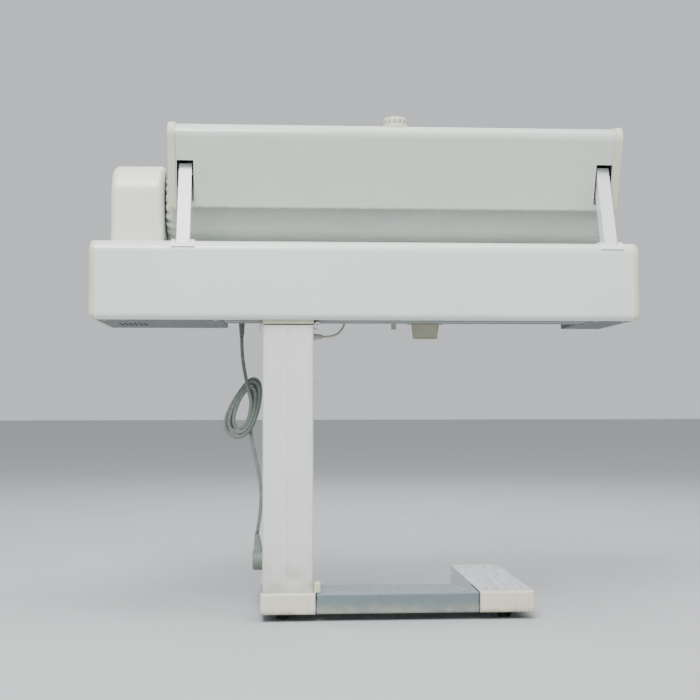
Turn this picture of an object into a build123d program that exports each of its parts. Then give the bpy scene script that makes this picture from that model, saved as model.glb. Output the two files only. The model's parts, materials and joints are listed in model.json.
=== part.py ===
"""Folding rotary ironer on a wheeled stand.

X runs along the roller, +X towards its free end. -Y is the rear of the machine, +Y the side where the user sits.
Z is up from the floor, and the origin is on the floor under the middle of the lower casing. Millimetres.
"""

import math
import os

from build123d import *

os.makedirs("parts", exist_ok=True)

# ---- driving dimensions -------------------------------------------------------------------------------------------
play = 0.4  # between parts that slide past each other
running = 0.05  # radial, between a pin and the bore it turns in

# feet and foot bar
foot_width = 97.2
foot_height = 37.0
foot_underside = 13.0
foot_wall = 3.0
foot_length = 356.0  # with both end caps
foot_cap = 10.0
foot_pitch = 390.0  # between the two feet's middles
beam_depth = 60.0
beam_height = 18.0
tread_depth = 106.0
tread_height = 36.0
tread_wall = 2.5
tread_end_gap = 2.6
tread_pin_radius = 3.0

# casters
wheel_radius = 17.0
wheel_width = 7.0
caster_web = 6.0
caster_trail = 9.0
caster_stem_radius = 4.0
axle_radius = 2.5

# column
column_x = -142.0
column_width = 90.0
column_depth = 114.0
column_height = 468.0
column_wall = 3.0
column_round = 6.0
cap_height = 6.0

# fold hinge and carriage
hinge_pin_radius = 2.5
hinge_barrel_radius = 5.0
plate_gap = 2.0  # between the column's cap and the tilt plate
plate_thickness = 6.6

# lower casing
casing_length = 985.0
casing_depth = 381.2
casing_height = 141.0
casing_wall = 1.2
casing_top_round = 21.0
casing_bottom_round = 11.0
casing_front_round = 30.0
casing_cap = 11.5
front_lift = 27.0  # the front cover ends this much above the rear one
pan_lift = 20.0  # the chassis pan lies this much above the underside
pan_thickness = 2.0
rail_depth = 88.5
module_depth = 236.0
left_module_gap = 71.0  # between the left end module and the tilt plate
right_module_length = 76.0

# roller
roller_radius = 80.0
roller_end_gap = 3.0  # between the drive housing and the roller
roller_end_inset = 18.5  # between the roller's free end and the casing's right end
roller_clearance = 14.0  # under the roller
padding = 12.0
tube_wall = 3.0
shaft_radius = 12.0

# roller drive
gear_module = 2.0
gear_teeth = 48
pinion_teeth = 16
gear_width = 11.0
drive_motor_radius = 34.0
housing_length = 98.0
housing_inset = 22.5  # between the casing's left end and the drive housing
housing_wall = 3.0
housing_front = 112.0
housing_rear = -84.0
housing_over = 67.0  # its top above the roller's axis
housing_round = 58.0

# lift
lift_inset = 45.0  # from the casing's rear face to the lift shaft
lift_drop = 64.0  # from the casing's top to the lift shaft
lift_radius = 14.0
lift_module = 2.5
sector_teeth = 36
lift_pinion_teeth = 12
lift_motor_radius = 28.0
press_angle = 3.92  # degrees that the arms swing to press the plate on the roller
tilt_ratio = -0.25  # hood's tilt on the arms, per degree of press
arm_width = 23.0
arm_depth = 25.0
pivot_gap = 33.45  # from the back of the heater plate, when it presses, to the hood's pivot on the arms
arm_end_gap = 1.0  # between a hood cap and the nearer lug
lug_gap = 0.8  # between an arm's top and the lugs on both sides of it
pivot_lug = 4.5  # a lug's thickness
arm_foot_inset = 10.0  # from the casing's rear face to that of an arm where it leaves the casing
arm_over = 55.2  # an arm's top above the roller's axis
collar_width = 42.0
collar_thickness = 3.0
collar_start = 22.0  # degrees up the casing's rounded rear edge
hood_pin_radius = 5.0

# hood
hood_left_inset = 9.2  # from the roller's driven end to the hood's
hood_right_inset = 0.2
hood_over = 43.0  # the hood's top above the roller
hood_rear_gap = 18.8  # from the heater plate's lower end back to the hood's lower rear edge
hood_lip_drop = 23.0  # the hood's lower edge under the roller's axis
hood_lean = 20.5
hood_cap = 13.5
hood_wall = 1.2
hood_proud = 3.5  # how far the caps stand out past the shell
hood_round = 20.0
plate_play = 0.5  # between the heater plate and the cloth when it presses
heater_thickness = 8.0
heater_low = -17.0  # the plate's ends, in degrees above the horizontal at the rear
heater_high = 100.0
slot_width = 30.0  # of the hood's openings for the arms
slot_under = 13.0  # below the roller's axis
slot_over = 56.5
knob_y = -108.0
knob_radius = 23.0
knob_height = 23.0
knob_stem_radius = 4.0

# controls
button_length = 20.0
button_depth = 12.0
button_travel = 3.0

# release handle under the casing
handle_left = 94.0
handle_right = 149.0
handle_y = -30.0
handle_drop = 34.5
trunnion_radius = 2.5
ear_thickness = 4.0

# leads
lead_diameter = 6.8
pedal_lead_diameter = 4.3

# ---- levels and places that follow from them ----------------------------------------------------------------------
collar_reach = (casing_top_round + collar_thickness) * math.cos(math.radians(collar_start)) - casing_top_round
front_y = (casing_depth + collar_reach) / 2  # the arm collars reach as far back as the casing does forward
rear_y = front_y - casing_depth
end_x = casing_length / 2
foot_top = foot_underside + foot_height
foot_rear = -foot_length / 2
left_foot_x = column_x
right_foot_x = column_x + foot_pitch
column_top = foot_top + column_height
stand_top = column_top + cap_height
column_rear = foot_rear + 4
column_right = column_x + column_width / 2
plate_bottom = stand_top + plate_gap
plate_top = plate_bottom + plate_thickness
underside = plate_top + play
casing_top = underside + casing_height
pan_bottom = underside + pan_lift
pan_top = pan_bottom + pan_thickness
rail_rear = rear_y + 16.5
rail_front = rail_rear + rail_depth
hinge_x = column_right + 7
hinge_z = stand_top + 1
housing_left = -end_x + housing_inset
housing_right = housing_left + housing_length
roller_height = casing_top + roller_clearance + roller_radius
roller_left = housing_right + roller_end_gap
roller_right = end_x - roller_end_inset
roller_length = roller_right - roller_left
core_radius = roller_radius - padding
handle_z = pan_bottom - 11
ear_places = (handle_left - 1.3 - ear_thickness, handle_right + 1.3)
hood_left = roller_left + hood_left_inset
hood_right = roller_right - hood_right_inset
hood_x = (hood_left + hood_right) / 2
arm_end_inset = hood_cap + arm_end_gap + pivot_lug + lug_gap + arm_width / 2
arm_places = (hood_left + arm_end_inset, hood_right - arm_end_inset)
arm_foot_y = rear_y + arm_foot_inset
arm_top_z = roller_height + arm_over
lift_y = rear_y + lift_inset
lift_z = casing_top - lift_drop


def turned(point, centre, degrees):
    """A (y, z) point turned about a centre, positive towards +Y over the top."""
    angle = math.radians(degrees)
    dy, dz = point[0] - centre[0], point[1] - centre[1]
    return (
        centre[0] + dy * math.cos(angle) + dz * math.sin(angle),
        centre[1] - dy * math.sin(angle) + dz * math.cos(angle),
    )


pivot_drop = 14.0
pivot_reach = roller_radius + plate_play + heater_thickness + pivot_gap
lean = math.radians(15)
for trial in range(20):  # the lean that brings the pivot to its reach behind the roller's axis
    lean = math.atan2(-pivot_reach - arm_foot_y - arm_depth / 2 * math.cos(lean) + pivot_drop * math.sin(lean),
                      arm_top_z - casing_top)
arm_along = (math.sin(lean), math.cos(lean))
arm_across = (math.cos(lean), -math.sin(lean))
arm_run = (arm_top_z - casing_top) / arm_along[1]
arm_top = (arm_foot_y + arm_run * arm_along[0], casing_top + arm_run * arm_along[1])
hood_pivot = (
    arm_top[0] + arm_depth / 2 * arm_across[0] - pivot_drop * arm_along[0],
    arm_top[1] + arm_depth / 2 * arm_across[1] - pivot_drop * arm_along[1],
)
lift_axis = (lift_y, lift_z)
roller_axis = (0.0, roller_height)
pivot_pressed = turned(hood_pivot, lift_axis, press_angle)
seat = turned((roller_axis[0] - pivot_pressed[0], roller_axis[1] - pivot_pressed[1]), (0, 0),
              -press_angle * (1 + tilt_ratio))
plate_axis = (hood_pivot[0] + seat[0], hood_pivot[1] + seat[1])  # the heater plate's centre while it is lifted
heater_radius = roller_radius + plate_play


def on_arc(radius, degrees, centre=plate_axis):
    """A (y, z) point on an arc about the plate's centre, degrees above the horizontal at the rear."""
    angle = math.radians(degrees)
    return centre[0] - radius * math.cos(angle), centre[1] + radius * math.sin(angle)


def across(x):
    """The plane across the machine at x, with its own x along Y and its own y along Z."""
    return Plane.YZ.offset(x)


def gear_points(centre, teeth, module, phase, backlash=0.25, first=0, count=None):
    """(y, z) points round an involute gear, counter-clockwise, with a tooth's middle at the phase, in degrees."""
    pitch = module * teeth / 2
    base = pitch * math.cos(math.radians(20))
    tip, root = pitch + 0.92 * module, pitch - 1.25 * module
    spread = math.tan(math.radians(20)) - math.radians(20)
    half = (math.pi * module / 2 - backlash) / 2 / pitch + spread
    flank = []
    for step in range(4):
        radius = max(base, root + 0.1) + (tip - max(base, root + 0.1)) * step / 3
        roll = math.sqrt(max((radius / base) ** 2 - 1, 0))
        flank.append((radius, half - (roll - math.atan(roll))))
    points = []
    for tooth in range(first, first + (count or teeth)):
        middle = math.radians(phase) + 2 * math.pi * tooth / teeth
        side = [(root, half)] + flank
        for radius, offset in side:
            points.append((centre[0] + radius * math.cos(middle - offset),
                           centre[1] + radius * math.sin(middle - offset)))
        for radius, offset in reversed(side):
            points.append((centre[0] + radius * math.cos(middle + offset),
                           centre[1] + radius * math.sin(middle + offset)))
    return points


# ---- stand --------------------------------------------------------------------------------------------------------
with BuildPart() as column:
    with BuildSketch(Plane.XY.offset(foot_top)):
        with Locations((column_x, column_rear + column_depth / 2)):
            RectangleRounded(column_width, column_depth, column_round)
            RectangleRounded(column_width - 2 * column_wall, column_depth - 2 * column_wall,
                             column_round - column_wall, mode=Mode.SUBTRACT)
        with Locations((column_x, column_rear)):
            Circle(1.2, mode=Mode.SUBTRACT)
    extrude(amount=column_height)
column.part.label = "column"
export_step(column.part, "parts/column.step")

knuckle_length = 18.0
knuckle_rear = column_rear + 2
plate_knuckle = (knuckle_rear + knuckle_length + play, column_rear + 76 - knuckle_length - play)
cap_knuckles = (knuckle_rear, plate_knuckle[1] + play)

with BuildPart() as column_top_cap:
    with BuildSketch(Plane.XY.offset(column_top)):
        with Locations((column_x, column_rear + column_depth / 2)):
            RectangleRounded(column_width, column_depth, column_round)
    extrude(amount=cap_height)
    for start in cap_knuckles:
        with BuildSketch(Plane.XZ.offset(-start)):
            with Locations((hinge_x, hinge_z)):
                Circle(hinge_barrel_radius)
            with Locations(((column_right - 2 + hinge_x) / 2, stand_top - 1.5)):
                Rectangle(hinge_x - column_right + 2, 3)
            with Locations((hinge_x, hinge_z)):
                Circle(hinge_pin_radius, mode=Mode.SUBTRACT)
        extrude(amount=-knuckle_length)
column_top_cap.part.label = "column_top_cap"
export_step(column_top_cap.part, "parts/column_top_cap.step")

with BuildPart() as fold_hinge_pin:
    with BuildSketch(Plane.XZ.offset(-knuckle_rear)):
        with Locations((hinge_x, hinge_z)):
            Circle(hinge_pin_radius)
    extrude(amount=-(cap_knuckles[1] + knuckle_length - knuckle_rear))
fold_hinge_pin.part.label = "fold_hinge_pin"
export_step(fold_hinge_pin.part, "parts/fold_hinge_pin.step")

caster_y = foot_rear + foot_cap + 34
socket_depth = 9.0
socket_bottom = foot_top - foot_wall - socket_depth
for side, foot_x in (("left", left_foot_x), ("right", right_foot_x)):
    with BuildPart() as foot:
        with BuildSketch(Plane.XZ.offset(-(foot_rear + foot_cap))):
            with Locations((foot_x, foot_underside + foot_height / 2)):
                Rectangle(foot_width, foot_height)
            with Locations((foot_x, foot_underside + (foot_height - foot_wall) / 2)):
                Rectangle(foot_width - 2 * foot_wall, foot_height - foot_wall, mode=Mode.SUBTRACT)
        extrude(amount=-(foot_length - 2 * foot_cap))
        with BuildSketch(Plane.XY.offset(socket_bottom)):
            with Locations((foot_x, caster_y)):
                Circle(caster_stem_radius + 4)
                Circle(caster_stem_radius + running, mode=Mode.SUBTRACT)
        extrude(amount=socket_depth)
    foot.part.label = f"{side}_foot"
    export_step(foot.part, f"parts/{side}_foot.step")

foot_round = 3.5
with BuildPart() as foot_caps:
    for wall_y, outwards in ((foot_rear + foot_cap, -1), (-foot_rear - foot_cap, 1)):
        for foot_x in (left_foot_x, right_foot_x):
            with BuildSketch(Plane.XZ.offset(-wall_y)):
                with Locations((foot_x, foot_underside + foot_height / 2)):
                    Rectangle(foot_width, foot_height)
            extrude(amount=-outwards * foot_cap)
    outer_faces = foot_caps.faces().filter_by(Axis.Y).group_by(Axis.Y)
    fillet(outer_faces[0].edges() + outer_faces[-1].edges(), foot_round)
foot_caps.part.label = "foot_caps"
export_step(foot_caps.part, "parts/foot_caps.step")

pad_y = -foot_rear - foot_cap - 36
with BuildPart() as rubber_feet:
    for foot_x in (left_foot_x, right_foot_x):
        with BuildSketch(Plane.XY):
            with Locations((foot_x, pad_y)):
                Circle(17)
        extrude(amount=foot_underside - 2, taper=-6)
        with BuildSketch(Plane.XY.offset(foot_underside - 2)):
            with Locations((foot_x, pad_y)):
                Circle(12)
        extrude(amount=foot_top - foot_wall - foot_underside + 2)
rubber_feet.part.label = "rubber_feet"
export_step(rubber_feet.part, "parts/rubber_feet.step")

# Two small casters, turned different ways: each has a web with a stem, and a wheel on both sides of the web.
caster_headings = {"left": (1.0, 0.0), "right": (0.0, 1.0)}  # which way each one rolls
for side, foot_x in (("left", left_foot_x), ("right", right_foot_x)):
    rolls = caster_headings[side]
    stem_plane = Plane(origin=(foot_x, caster_y, 0), x_dir=(rolls[0], rolls[1], 0), z_dir=(0, 0, 1))
    web_plane = Plane(origin=(foot_x, caster_y, 0), x_dir=(rolls[0], rolls[1], 0), z_dir=(rolls[1], -rolls[0], 0))
    with BuildPart() as caster_body:
        with BuildSketch(web_plane.offset(-caster_web / 2)):
            with Locations((-caster_trail, wheel_radius)):
                Circle(wheel_radius - 5)
            with BuildLine():
                Polyline((-caster_trail - 10, wheel_radius + 4), (-caster_trail + 4, wheel_radius - 8),
                         (6.5, socket_bottom - 8), (6.5, socket_bottom - 0.5), (-6.5, socket_bottom - 0.5),
                         close=True)
            make_face()
            with Locations((-caster_trail, wheel_radius)):
                Circle(axle_radius + running, mode=Mode.SUBTRACT)
        extrude(amount=caster_web)
        with BuildSketch(stem_plane.offset(socket_bottom - 0.5)):
            Circle(caster_stem_radius)
        extrude(amount=socket_depth - 0.5)
    caster_body.part.label = f"{side}_caster_body"
    export_step(caster_body.part, f"parts/{side}_caster_body.step")

    with BuildPart() as caster_wheels:
        half_track = caster_web / 2 + play
        for start in (-half_track - wheel_width, half_track):
            with BuildSketch(web_plane.offset(start)):
                with Locations((-caster_trail, wheel_radius)):
                    Circle(wheel_radius)
            extrude(amount=wheel_width)
        fillet(caster_wheels.edges().filter_by(GeomType.CIRCLE), 1.5)
        with BuildSketch(web_plane.offset(-half_track - 1)):
            with Locations((-caster_trail, wheel_radius)):
                Circle(axle_radius)
        extrude(amount=2 * half_track + 2)
    caster_wheels.part.label = f"{side}_caster_wheels"
    export_step(caster_wheels.part, f"parts/{side}_caster_wheels.step")

# The crossbeam joins the feet inside the foot bar, and carries the bar's two pins on small lugs.
left_inner = left_foot_x + foot_width / 2
right_inner = right_foot_x - foot_width / 2
tread_rear = foot_rear + 2
tread_front = tread_rear + tread_depth
tread_bottom = foot_underside
tread_top = tread_bottom + tread_height
beam_rear = tread_rear + 26
beam_bottom = foot_underside + 7
tread_pin_y = tread_rear + 14
tread_pin_z = tread_bottom + 20
rib_places = (left_inner + 36, right_inner - 36)
lug_thickness = 4.0

with BuildPart() as rear_crossbeam:
    with BuildSketch(Plane.YZ.offset(left_inner)):
        with Locations((beam_rear + beam_depth / 2, beam_bottom + beam_height / 2)):
            RectangleRounded(beam_depth, beam_height, 3)
            RectangleRounded(beam_depth - 4, beam_height - 4, 1.5, mode=Mode.SUBTRACT)
    extrude(amount=right_inner - left_inner)
    for rib_x in rib_places:
        with BuildSketch(Plane.YZ.offset(rib_x - lug_thickness - 1)):
            with Locations((tread_pin_y, tread_pin_z)):
                Circle(5)
            with Locations(((tread_pin_y + beam_rear + 1) / 2, tread_pin_z)):
                Rectangle(beam_rear + 1 - tread_pin_y, 8)
        extrude(amount=lug_thickness)
        with BuildSketch(Plane.YZ.offset(rib_x - 1)):
            with Locations((tread_pin_y, tread_pin_z)):
                Circle(tread_pin_radius)
        extrude(amount=lug_thickness + 2)
rear_crossbeam.part.label = "rear_crossbeam"
export_step(rear_crossbeam.part, "parts/rear_crossbeam.step")

with BuildPart() as tread_bar:
    with BuildSketch(Plane.YZ.offset(left_inner + tread_end_gap)):
        with Locations(((tread_rear + tread_front) / 2, (tread_bottom + tread_top) / 2)):
            RectangleRounded(tread_depth, tread_height, 4)
        with Locations(((tread_rear + tread_front) / 2, (tread_bottom + tread_top) / 2 - tread_wall)):
            Rectangle(tread_depth - 2 * tread_wall, tread_height, mode=Mode.SUBTRACT)
    extrude(amount=right_inner - left_inner - 2 * tread_end_gap)
    for rib_x in rib_places:
        with BuildSketch(Plane.YZ.offset(rib_x)):
            with Locations((tread_pin_y, tread_pin_z)):
                Circle(6)
            with Locations((tread_pin_y, (tread_pin_z + tread_top - tread_wall) / 2)):
                Rectangle(12, tread_top - tread_wall - tread_pin_z)
            with Locations((tread_pin_y, tread_pin_z)):
                Circle(tread_pin_radius + running, mode=Mode.SUBTRACT)
        extrude(amount=lug_thickness)
tread_bar.part.label = "tread_bar"
export_step(tread_bar.part, "parts/tread_bar.step")

with BuildPart() as tread_pivot_block:
    with BuildSketch(Plane.XY.offset(foot_top)):
        with Locations((column_right + 6.5, tread_rear + 26)):
            RectangleRounded(13, 34, 3)
    extrude(amount=17)
    fillet(tread_pivot_block.faces().sort_by(Axis.Z)[-1].edges(), 2)
tread_pivot_block.part.label = "tread_pivot_block"
export_step(tread_pivot_block.part, "parts/tread_pivot_block.step")

switch_x = 60.0
with BuildPart() as foot_switch:
    with BuildSketch(Plane.XY.offset(beam_bottom + 2)):
        with Locations((switch_x, beam_rear + beam_depth + 5)):
            Rectangle(20, 10)
    extrude(amount=beam_height - 4)
    with BuildSketch(Plane.XY.offset(beam_bottom + beam_height - 2)):
        with Locations((switch_x + 5, beam_rear + beam_depth + 5)):
            Circle(2)
    extrude(amount=6)
foot_switch.part.label = "foot_switch"
export_step(foot_switch.part, "parts/foot_switch.step")

stud_z = 421.7
stud_y = -110.0
with BuildPart() as latch_stud:
    with BuildSketch(Plane.YZ.offset(column_right)):
        with Locations((stud_y, stud_z)):
            Circle(3)
    extrude(amount=12, taper=5)
latch_stud.part.label = "latch_stud"
export_step(latch_stud.part, "parts/latch_stud.step")

# ---- carriage on top of the column --------------------------------------------------------------------------------
plate_left = column_x - column_width / 2
plate_rear = column_rear
plate_front = rail_front - 3
wing_rear = rail_front + 0.6
wing_front = wing_rear + 42
wing_right = hinge_x + 66
with BuildPart() as tilt_plate:
    with BuildSketch(Plane.XY.offset(plate_bottom)):
        with Locations(((plate_left + column_right) / 2 + 0.25, (plate_rear + plate_front) / 2)):
            Rectangle(column_right - plate_left + 0.5, plate_front - plate_rear)
        with Locations(((plate_left + 68 + column_right) / 2, (plate_front + wing_rear + 4) / 2 - 1)):
            Rectangle(column_right - plate_left - 68, wing_rear + 4 - plate_front + 2)
    extrude(amount=plate_thickness)
    with BuildSketch(Plane.XZ.offset(-plate_knuckle[0])):
        with Locations((hinge_x, hinge_z)):
            Circle(hinge_barrel_radius)
        with Locations(((column_right + hinge_x) / 2, plate_bottom + 2)):
            Rectangle(hinge_x - column_right, 4)
        with Locations((hinge_x, hinge_z)):
            Circle(hinge_pin_radius + running, mode=Mode.SUBTRACT)
    extrude(amount=-(plate_knuckle[1] - plate_knuckle[0]))
    with BuildSketch(Plane.XY.offset(plate_bottom)):
        with Locations(((plate_left + 68 + column_right) / 2, wing_rear + 2)):
            Rectangle(column_right - plate_left - 68, 4)
    extrude(amount=pan_bottom - 1 - plate_bottom)
    with BuildSketch(Plane.XY.offset(pan_bottom - 4)):
        with Locations(((plate_left + 68 + wing_right) / 2, (wing_rear + wing_front) / 2)):
            RectangleRounded(wing_right - plate_left - 68, wing_front - wing_rear, 3)
    extrude(amount=3)
tilt_plate.part.label = "tilt_plate"
export_step(tilt_plate.part, "parts/tilt_plate.step")

slot_rows = (rail_rear + 18.5, rail_rear + 68.5)
slot_neck = 10.0
slot_head = 22.0
slot_lip = 3.0
head_height = 7.0
with BuildPart() as slide_shoes:
    for shoe_x in (plate_left + 18, column_right - 18):
        for row_y in slot_rows:
            with BuildSketch(Plane.XY.offset(plate_top)):
                with Locations((shoe_x, row_y)):
                    Rectangle(20, slot_neck - 2 * play)
            extrude(amount=play + slot_lip + play)
            with BuildSketch(Plane.XY.offset(underside + slot_lip + play)):
                with Locations((shoe_x, row_y)):
                    Rectangle(20, slot_head - 2 * play)
            extrude(amount=head_height - 2 * play)
slide_shoes.part.label = "slide_shoes"
export_step(slide_shoes.part, "parts/slide_shoes.step")

with BuildPart() as tilt_catch:
    with BuildSketch(Plane.XZ.offset(130)):
        with BuildLine():
            Polyline((plate_left, plate_bottom + 3), (plate_left, plate_bottom + 5.4),
                     (plate_left - 3, plate_bottom + 5), (plate_left - 6.6, plate_bottom + 1), (plate_left - 7.4, plate_bottom - 5),
                     (plate_left - 6, plate_bottom - 12), (plate_left - 4.2, plate_bottom - 12),
                     (plate_left - 5.4, plate_bottom - 5), (plate_left - 4.8, plate_bottom),
                     (plate_left - 2.2, plate_bottom + 2.8), close=True)
        make_face()
    extrude(amount=-20)
tilt_catch.part.label = "tilt_catch"
export_step(tilt_catch.part, "parts/tilt_catch.step")

# ---- lower casing of the ironing unit -----------------------------------------------------------------------------
cover_end = end_x - casing_cap
cover_split = -40.0
button_x = housing_left + 40
button_y = housing_front + 25
well = (housing_right - 50, housing_right - 2, cover_split, housing_front - 6)  # hole under the housing: x, x, y, y


def casing_outline(inset):
    """The rear cover's outline in (y, z), drawn as a line from the bottom flange round to the split on top."""
    left, low, high = rear_y + inset, underside + inset, casing_top - inset
    bottom_r, top_r = casing_bottom_round - inset, casing_top_round - inset
    Polyline((rail_rear - play, low), (left + bottom_r, low))
    RadiusArc((left + bottom_r, low), (left, low + bottom_r), bottom_r)
    Polyline((left, low + bottom_r), (left, high - top_r))
    RadiusArc((left, high - top_r), (left + top_r, high), top_r)
    Polyline((left + top_r, high), (cover_split, high))


with BuildPart() as box_rear_cover:
    with BuildSketch(across(-cover_end)):
        with BuildLine():
            casing_outline(0)
            Polyline((cover_split, casing_top), (cover_split, casing_top - casing_wall))
            casing_outline(casing_wall)
            Polyline((rail_rear - play, underside + casing_wall), (rail_rear - play, underside))
        make_face()
    extrude(amount=2 * cover_end)
    for arm_x in arm_places:
        with BuildSketch(Plane.XY.offset(casing_top - casing_top_round)):
            with Locations((arm_x, arm_foot_y + 14)):
                Rectangle(arm_width + 4, 42)
        extrude(amount=casing_top_round + 2, mode=Mode.SUBTRACT)
box_rear_cover.part.label = "box_rear_cover"
export_step(box_rear_cover.part, "parts/box_rear_cover.step")

front_low = underside + front_lift
pan_front = front_y - 40
with BuildPart() as box_front_cover:
    with BuildSketch(across(-cover_end)):
        with BuildLine():
            Polyline((cover_split, casing_top), (front_y - casing_front_round, casing_top))
            RadiusArc((front_y - casing_front_round, casing_top), (front_y, casing_top - casing_front_round),
                      casing_front_round)
            Polyline((front_y, casing_top - casing_front_round), (front_y, front_low), (pan_front, front_low),
                     (pan_front, front_low + casing_wall), (front_y - casing_wall, front_low + casing_wall),
                     (front_y - casing_wall, casing_top - casing_front_round))
            RadiusArc((front_y - casing_wall, casing_top - casing_front_round),
                      (front_y - casing_front_round, casing_top - casing_wall), -(casing_front_round - casing_wall))
            Polyline((front_y - casing_front_round, casing_top - casing_wall),
                     (cover_split, casing_top - casing_wall), (cover_split, casing_top))
        make_face()
    extrude(amount=2 * cover_end)
    with BuildSketch(Plane.XY.offset(casing_top - 5)):
        with Locations(((well[0] + well[1]) / 2, (well[2] + well[3]) / 2)):
            Rectangle(well[1] - well[0], well[3] - well[2])
    extrude(amount=10, mode=Mode.SUBTRACT)
    with BuildSketch(Plane.XY.offset(casing_top - 5)):
        with Locations((button_x, button_y)):
            Rectangle(button_length + 2, button_depth + 2)
    extrude(amount=10, mode=Mode.SUBTRACT)
box_front_cover.part.label = "box_front_cover"
export_step(box_front_cover.part, "parts/box_front_cover.step")

for side, start, outwards in (("left", -cover_end, -1), ("right", cover_end, 1)):
    with BuildPart() as box_end_cap:
        with BuildSketch(across(start)):
            with BuildLine():
                Polyline((rear_y, underside), (rear_y + module_depth, underside), (pan_front - 10, front_low),
                         (front_y, front_low), (front_y, casing_top), (rear_y, casing_top), close=True)
            make_face()
            fillet(vertices().sort_by_distance((rear_y, underside))[0], casing_bottom_round)
            fillet(vertices().sort_by_distance((rear_y, casing_top))[0], casing_top_round)
            fillet(vertices().sort_by_distance((front_y, casing_top))[0], casing_front_round)
        extrude(amount=outwards * casing_cap)
        fillet(box_end_cap.faces().sort_by(Axis.X)[0 if outwards < 0 else -1].edges(), 8)
    box_end_cap.part.label = f"box_end_cap_{side}"
    export_step(box_end_cap.part, f"parts/box_end_cap_{side}.step")

pan_rear = rear_y + casing_wall
with BuildPart() as chassis_pan:
    with BuildSketch(across(-cover_end)):
        with BuildLine():
            Polyline((pan_rear, pan_bottom), (pan_front, pan_bottom), (pan_front, pan_bottom + 23),
                     (pan_front - pan_thickness, pan_bottom + 23), (pan_front - pan_thickness, pan_top),
                     (pan_rear + pan_thickness, pan_top), (pan_rear + pan_thickness, pan_bottom + 23),
                     (pan_rear, pan_bottom + 23), close=True)
        make_face()
    extrude(amount=2 * cover_end)
    for ear_x in ear_places:
        with BuildSketch(across(ear_x)):
            with Locations((handle_y, (handle_z + pan_bottom) / 2)):
                Rectangle(14, pan_bottom - handle_z)
            with Locations((handle_y, handle_z)):
                Circle(7)
                Circle(trunnion_radius + running, mode=Mode.SUBTRACT)
        extrude(amount=ear_thickness)
chassis_pan.part.label = "chassis_pan"
export_step(chassis_pan.part, "parts/chassis_pan.step")

left_module_end = plate_left - left_module_gap
rail_left = left_module_end + 1
rail_right = cover_end - right_module_length - 1
with BuildPart() as slide_rail:
    with BuildSketch(across(rail_left)):
        with Locations(((rail_rear + rail_front) / 2, (underside + pan_bottom) / 2)):
            Rectangle(rail_depth, pan_lift)
        for row_y in slot_rows:
            with Locations((row_y, underside + slot_lip / 2)):
                Rectangle(slot_neck, slot_lip, mode=Mode.SUBTRACT)
            with Locations((row_y, underside + slot_lip + head_height / 2)):
                Rectangle(slot_head, head_height, mode=Mode.SUBTRACT)
        with Locations(((slot_rows[0] + slot_rows[1]) / 2, pan_bottom - 8)):
            Rectangle(20, 16, mode=Mode.SUBTRACT)
    extrude(amount=rail_right - rail_left)
slide_rail.part.label = "slide_rail"
export_step(slide_rail.part, "parts/slide_rail.step")

vent_pitch = 9.0
for side, left_x, right_x in (("left", -cover_end, left_module_end),
                              ("right", cover_end - right_module_length, cover_end)):
    module_rear = rail_rear
    module_front = rear_y + module_depth
    with BuildPart() as end_module:
        with BuildSketch(Plane.XY.offset(underside)):
            with Locations(((left_x + right_x) / 2, (module_rear + module_front) / 2)):
                Rectangle(right_x - left_x, module_front - module_rear)
        extrude(amount=pan_lift)
        offset(amount=-2.5, openings=end_module.faces().sort_by(Axis.Z)[-1])
        if side == "left":
            with BuildSketch(Plane.XY.offset(underside - 1)):
                with Locations((left_x + 52, module_rear + 120)):
                    with GridLocations(vent_pitch, 1, 6, 1):
                        SlotOverall(70, 4, rotation=90)
            extrude(amount=5, mode=Mode.SUBTRACT)
    end_module.part.label = f"end_module_{side}"
    export_step(end_module.part, f"parts/end_module_{side}.step")

# The release handle turns on its trunnions in the pan's two ears.
with BuildPart() as release_handle:
    with BuildSketch(Plane.XZ.offset(-(handle_y - 4))):
        with BuildLine():
            Polyline((handle_left, handle_z + 1), (handle_right, handle_z + 1),
                     (handle_right - 4.5, handle_z - handle_drop), (handle_left + 4.5, handle_z - handle_drop),
                     close=True)
        make_face()
        fillet(vertices().group_by(Axis.Y)[0], 4)
    extrude(amount=-7)
    with BuildSketch(across(ear_places[0] - 30)):
        with Locations((handle_y, handle_z)):
            Circle(trunnion_radius)
    extrude(amount=ear_places[1] + ear_thickness - ear_places[0] + 30)
    with BuildSketch(across(ear_places[0] - 32)):
        with Locations((handle_y, handle_z)):
            Circle(4)
        with Locations((handle_y, handle_z - 8)):
            Rectangle(8, 16)
    extrude(amount=9)
    with BuildSketch(across(handle_left)):
        with Locations((handle_y, handle_z)):
            Circle(4.5)
    extrude(amount=handle_right - handle_left)
release_handle.part.label = "release_handle"
export_step(release_handle.part, "parts/release_handle.step")

# A plastic collar lines each arm's slot and wraps over the casing's rear top edge.
slot_rear = arm_foot_y - 6
slot_front = arm_foot_y + 33
collar_front = slot_front + 9


def on_round(radius, degrees):
    """A (y, z) point about the centre of the casing's rounded rear edge, degrees above the horizontal."""
    angle = math.radians(degrees)
    return (rear_y + casing_top_round - radius * math.cos(angle),
            casing_top - casing_top_round + radius * math.sin(angle))


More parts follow.
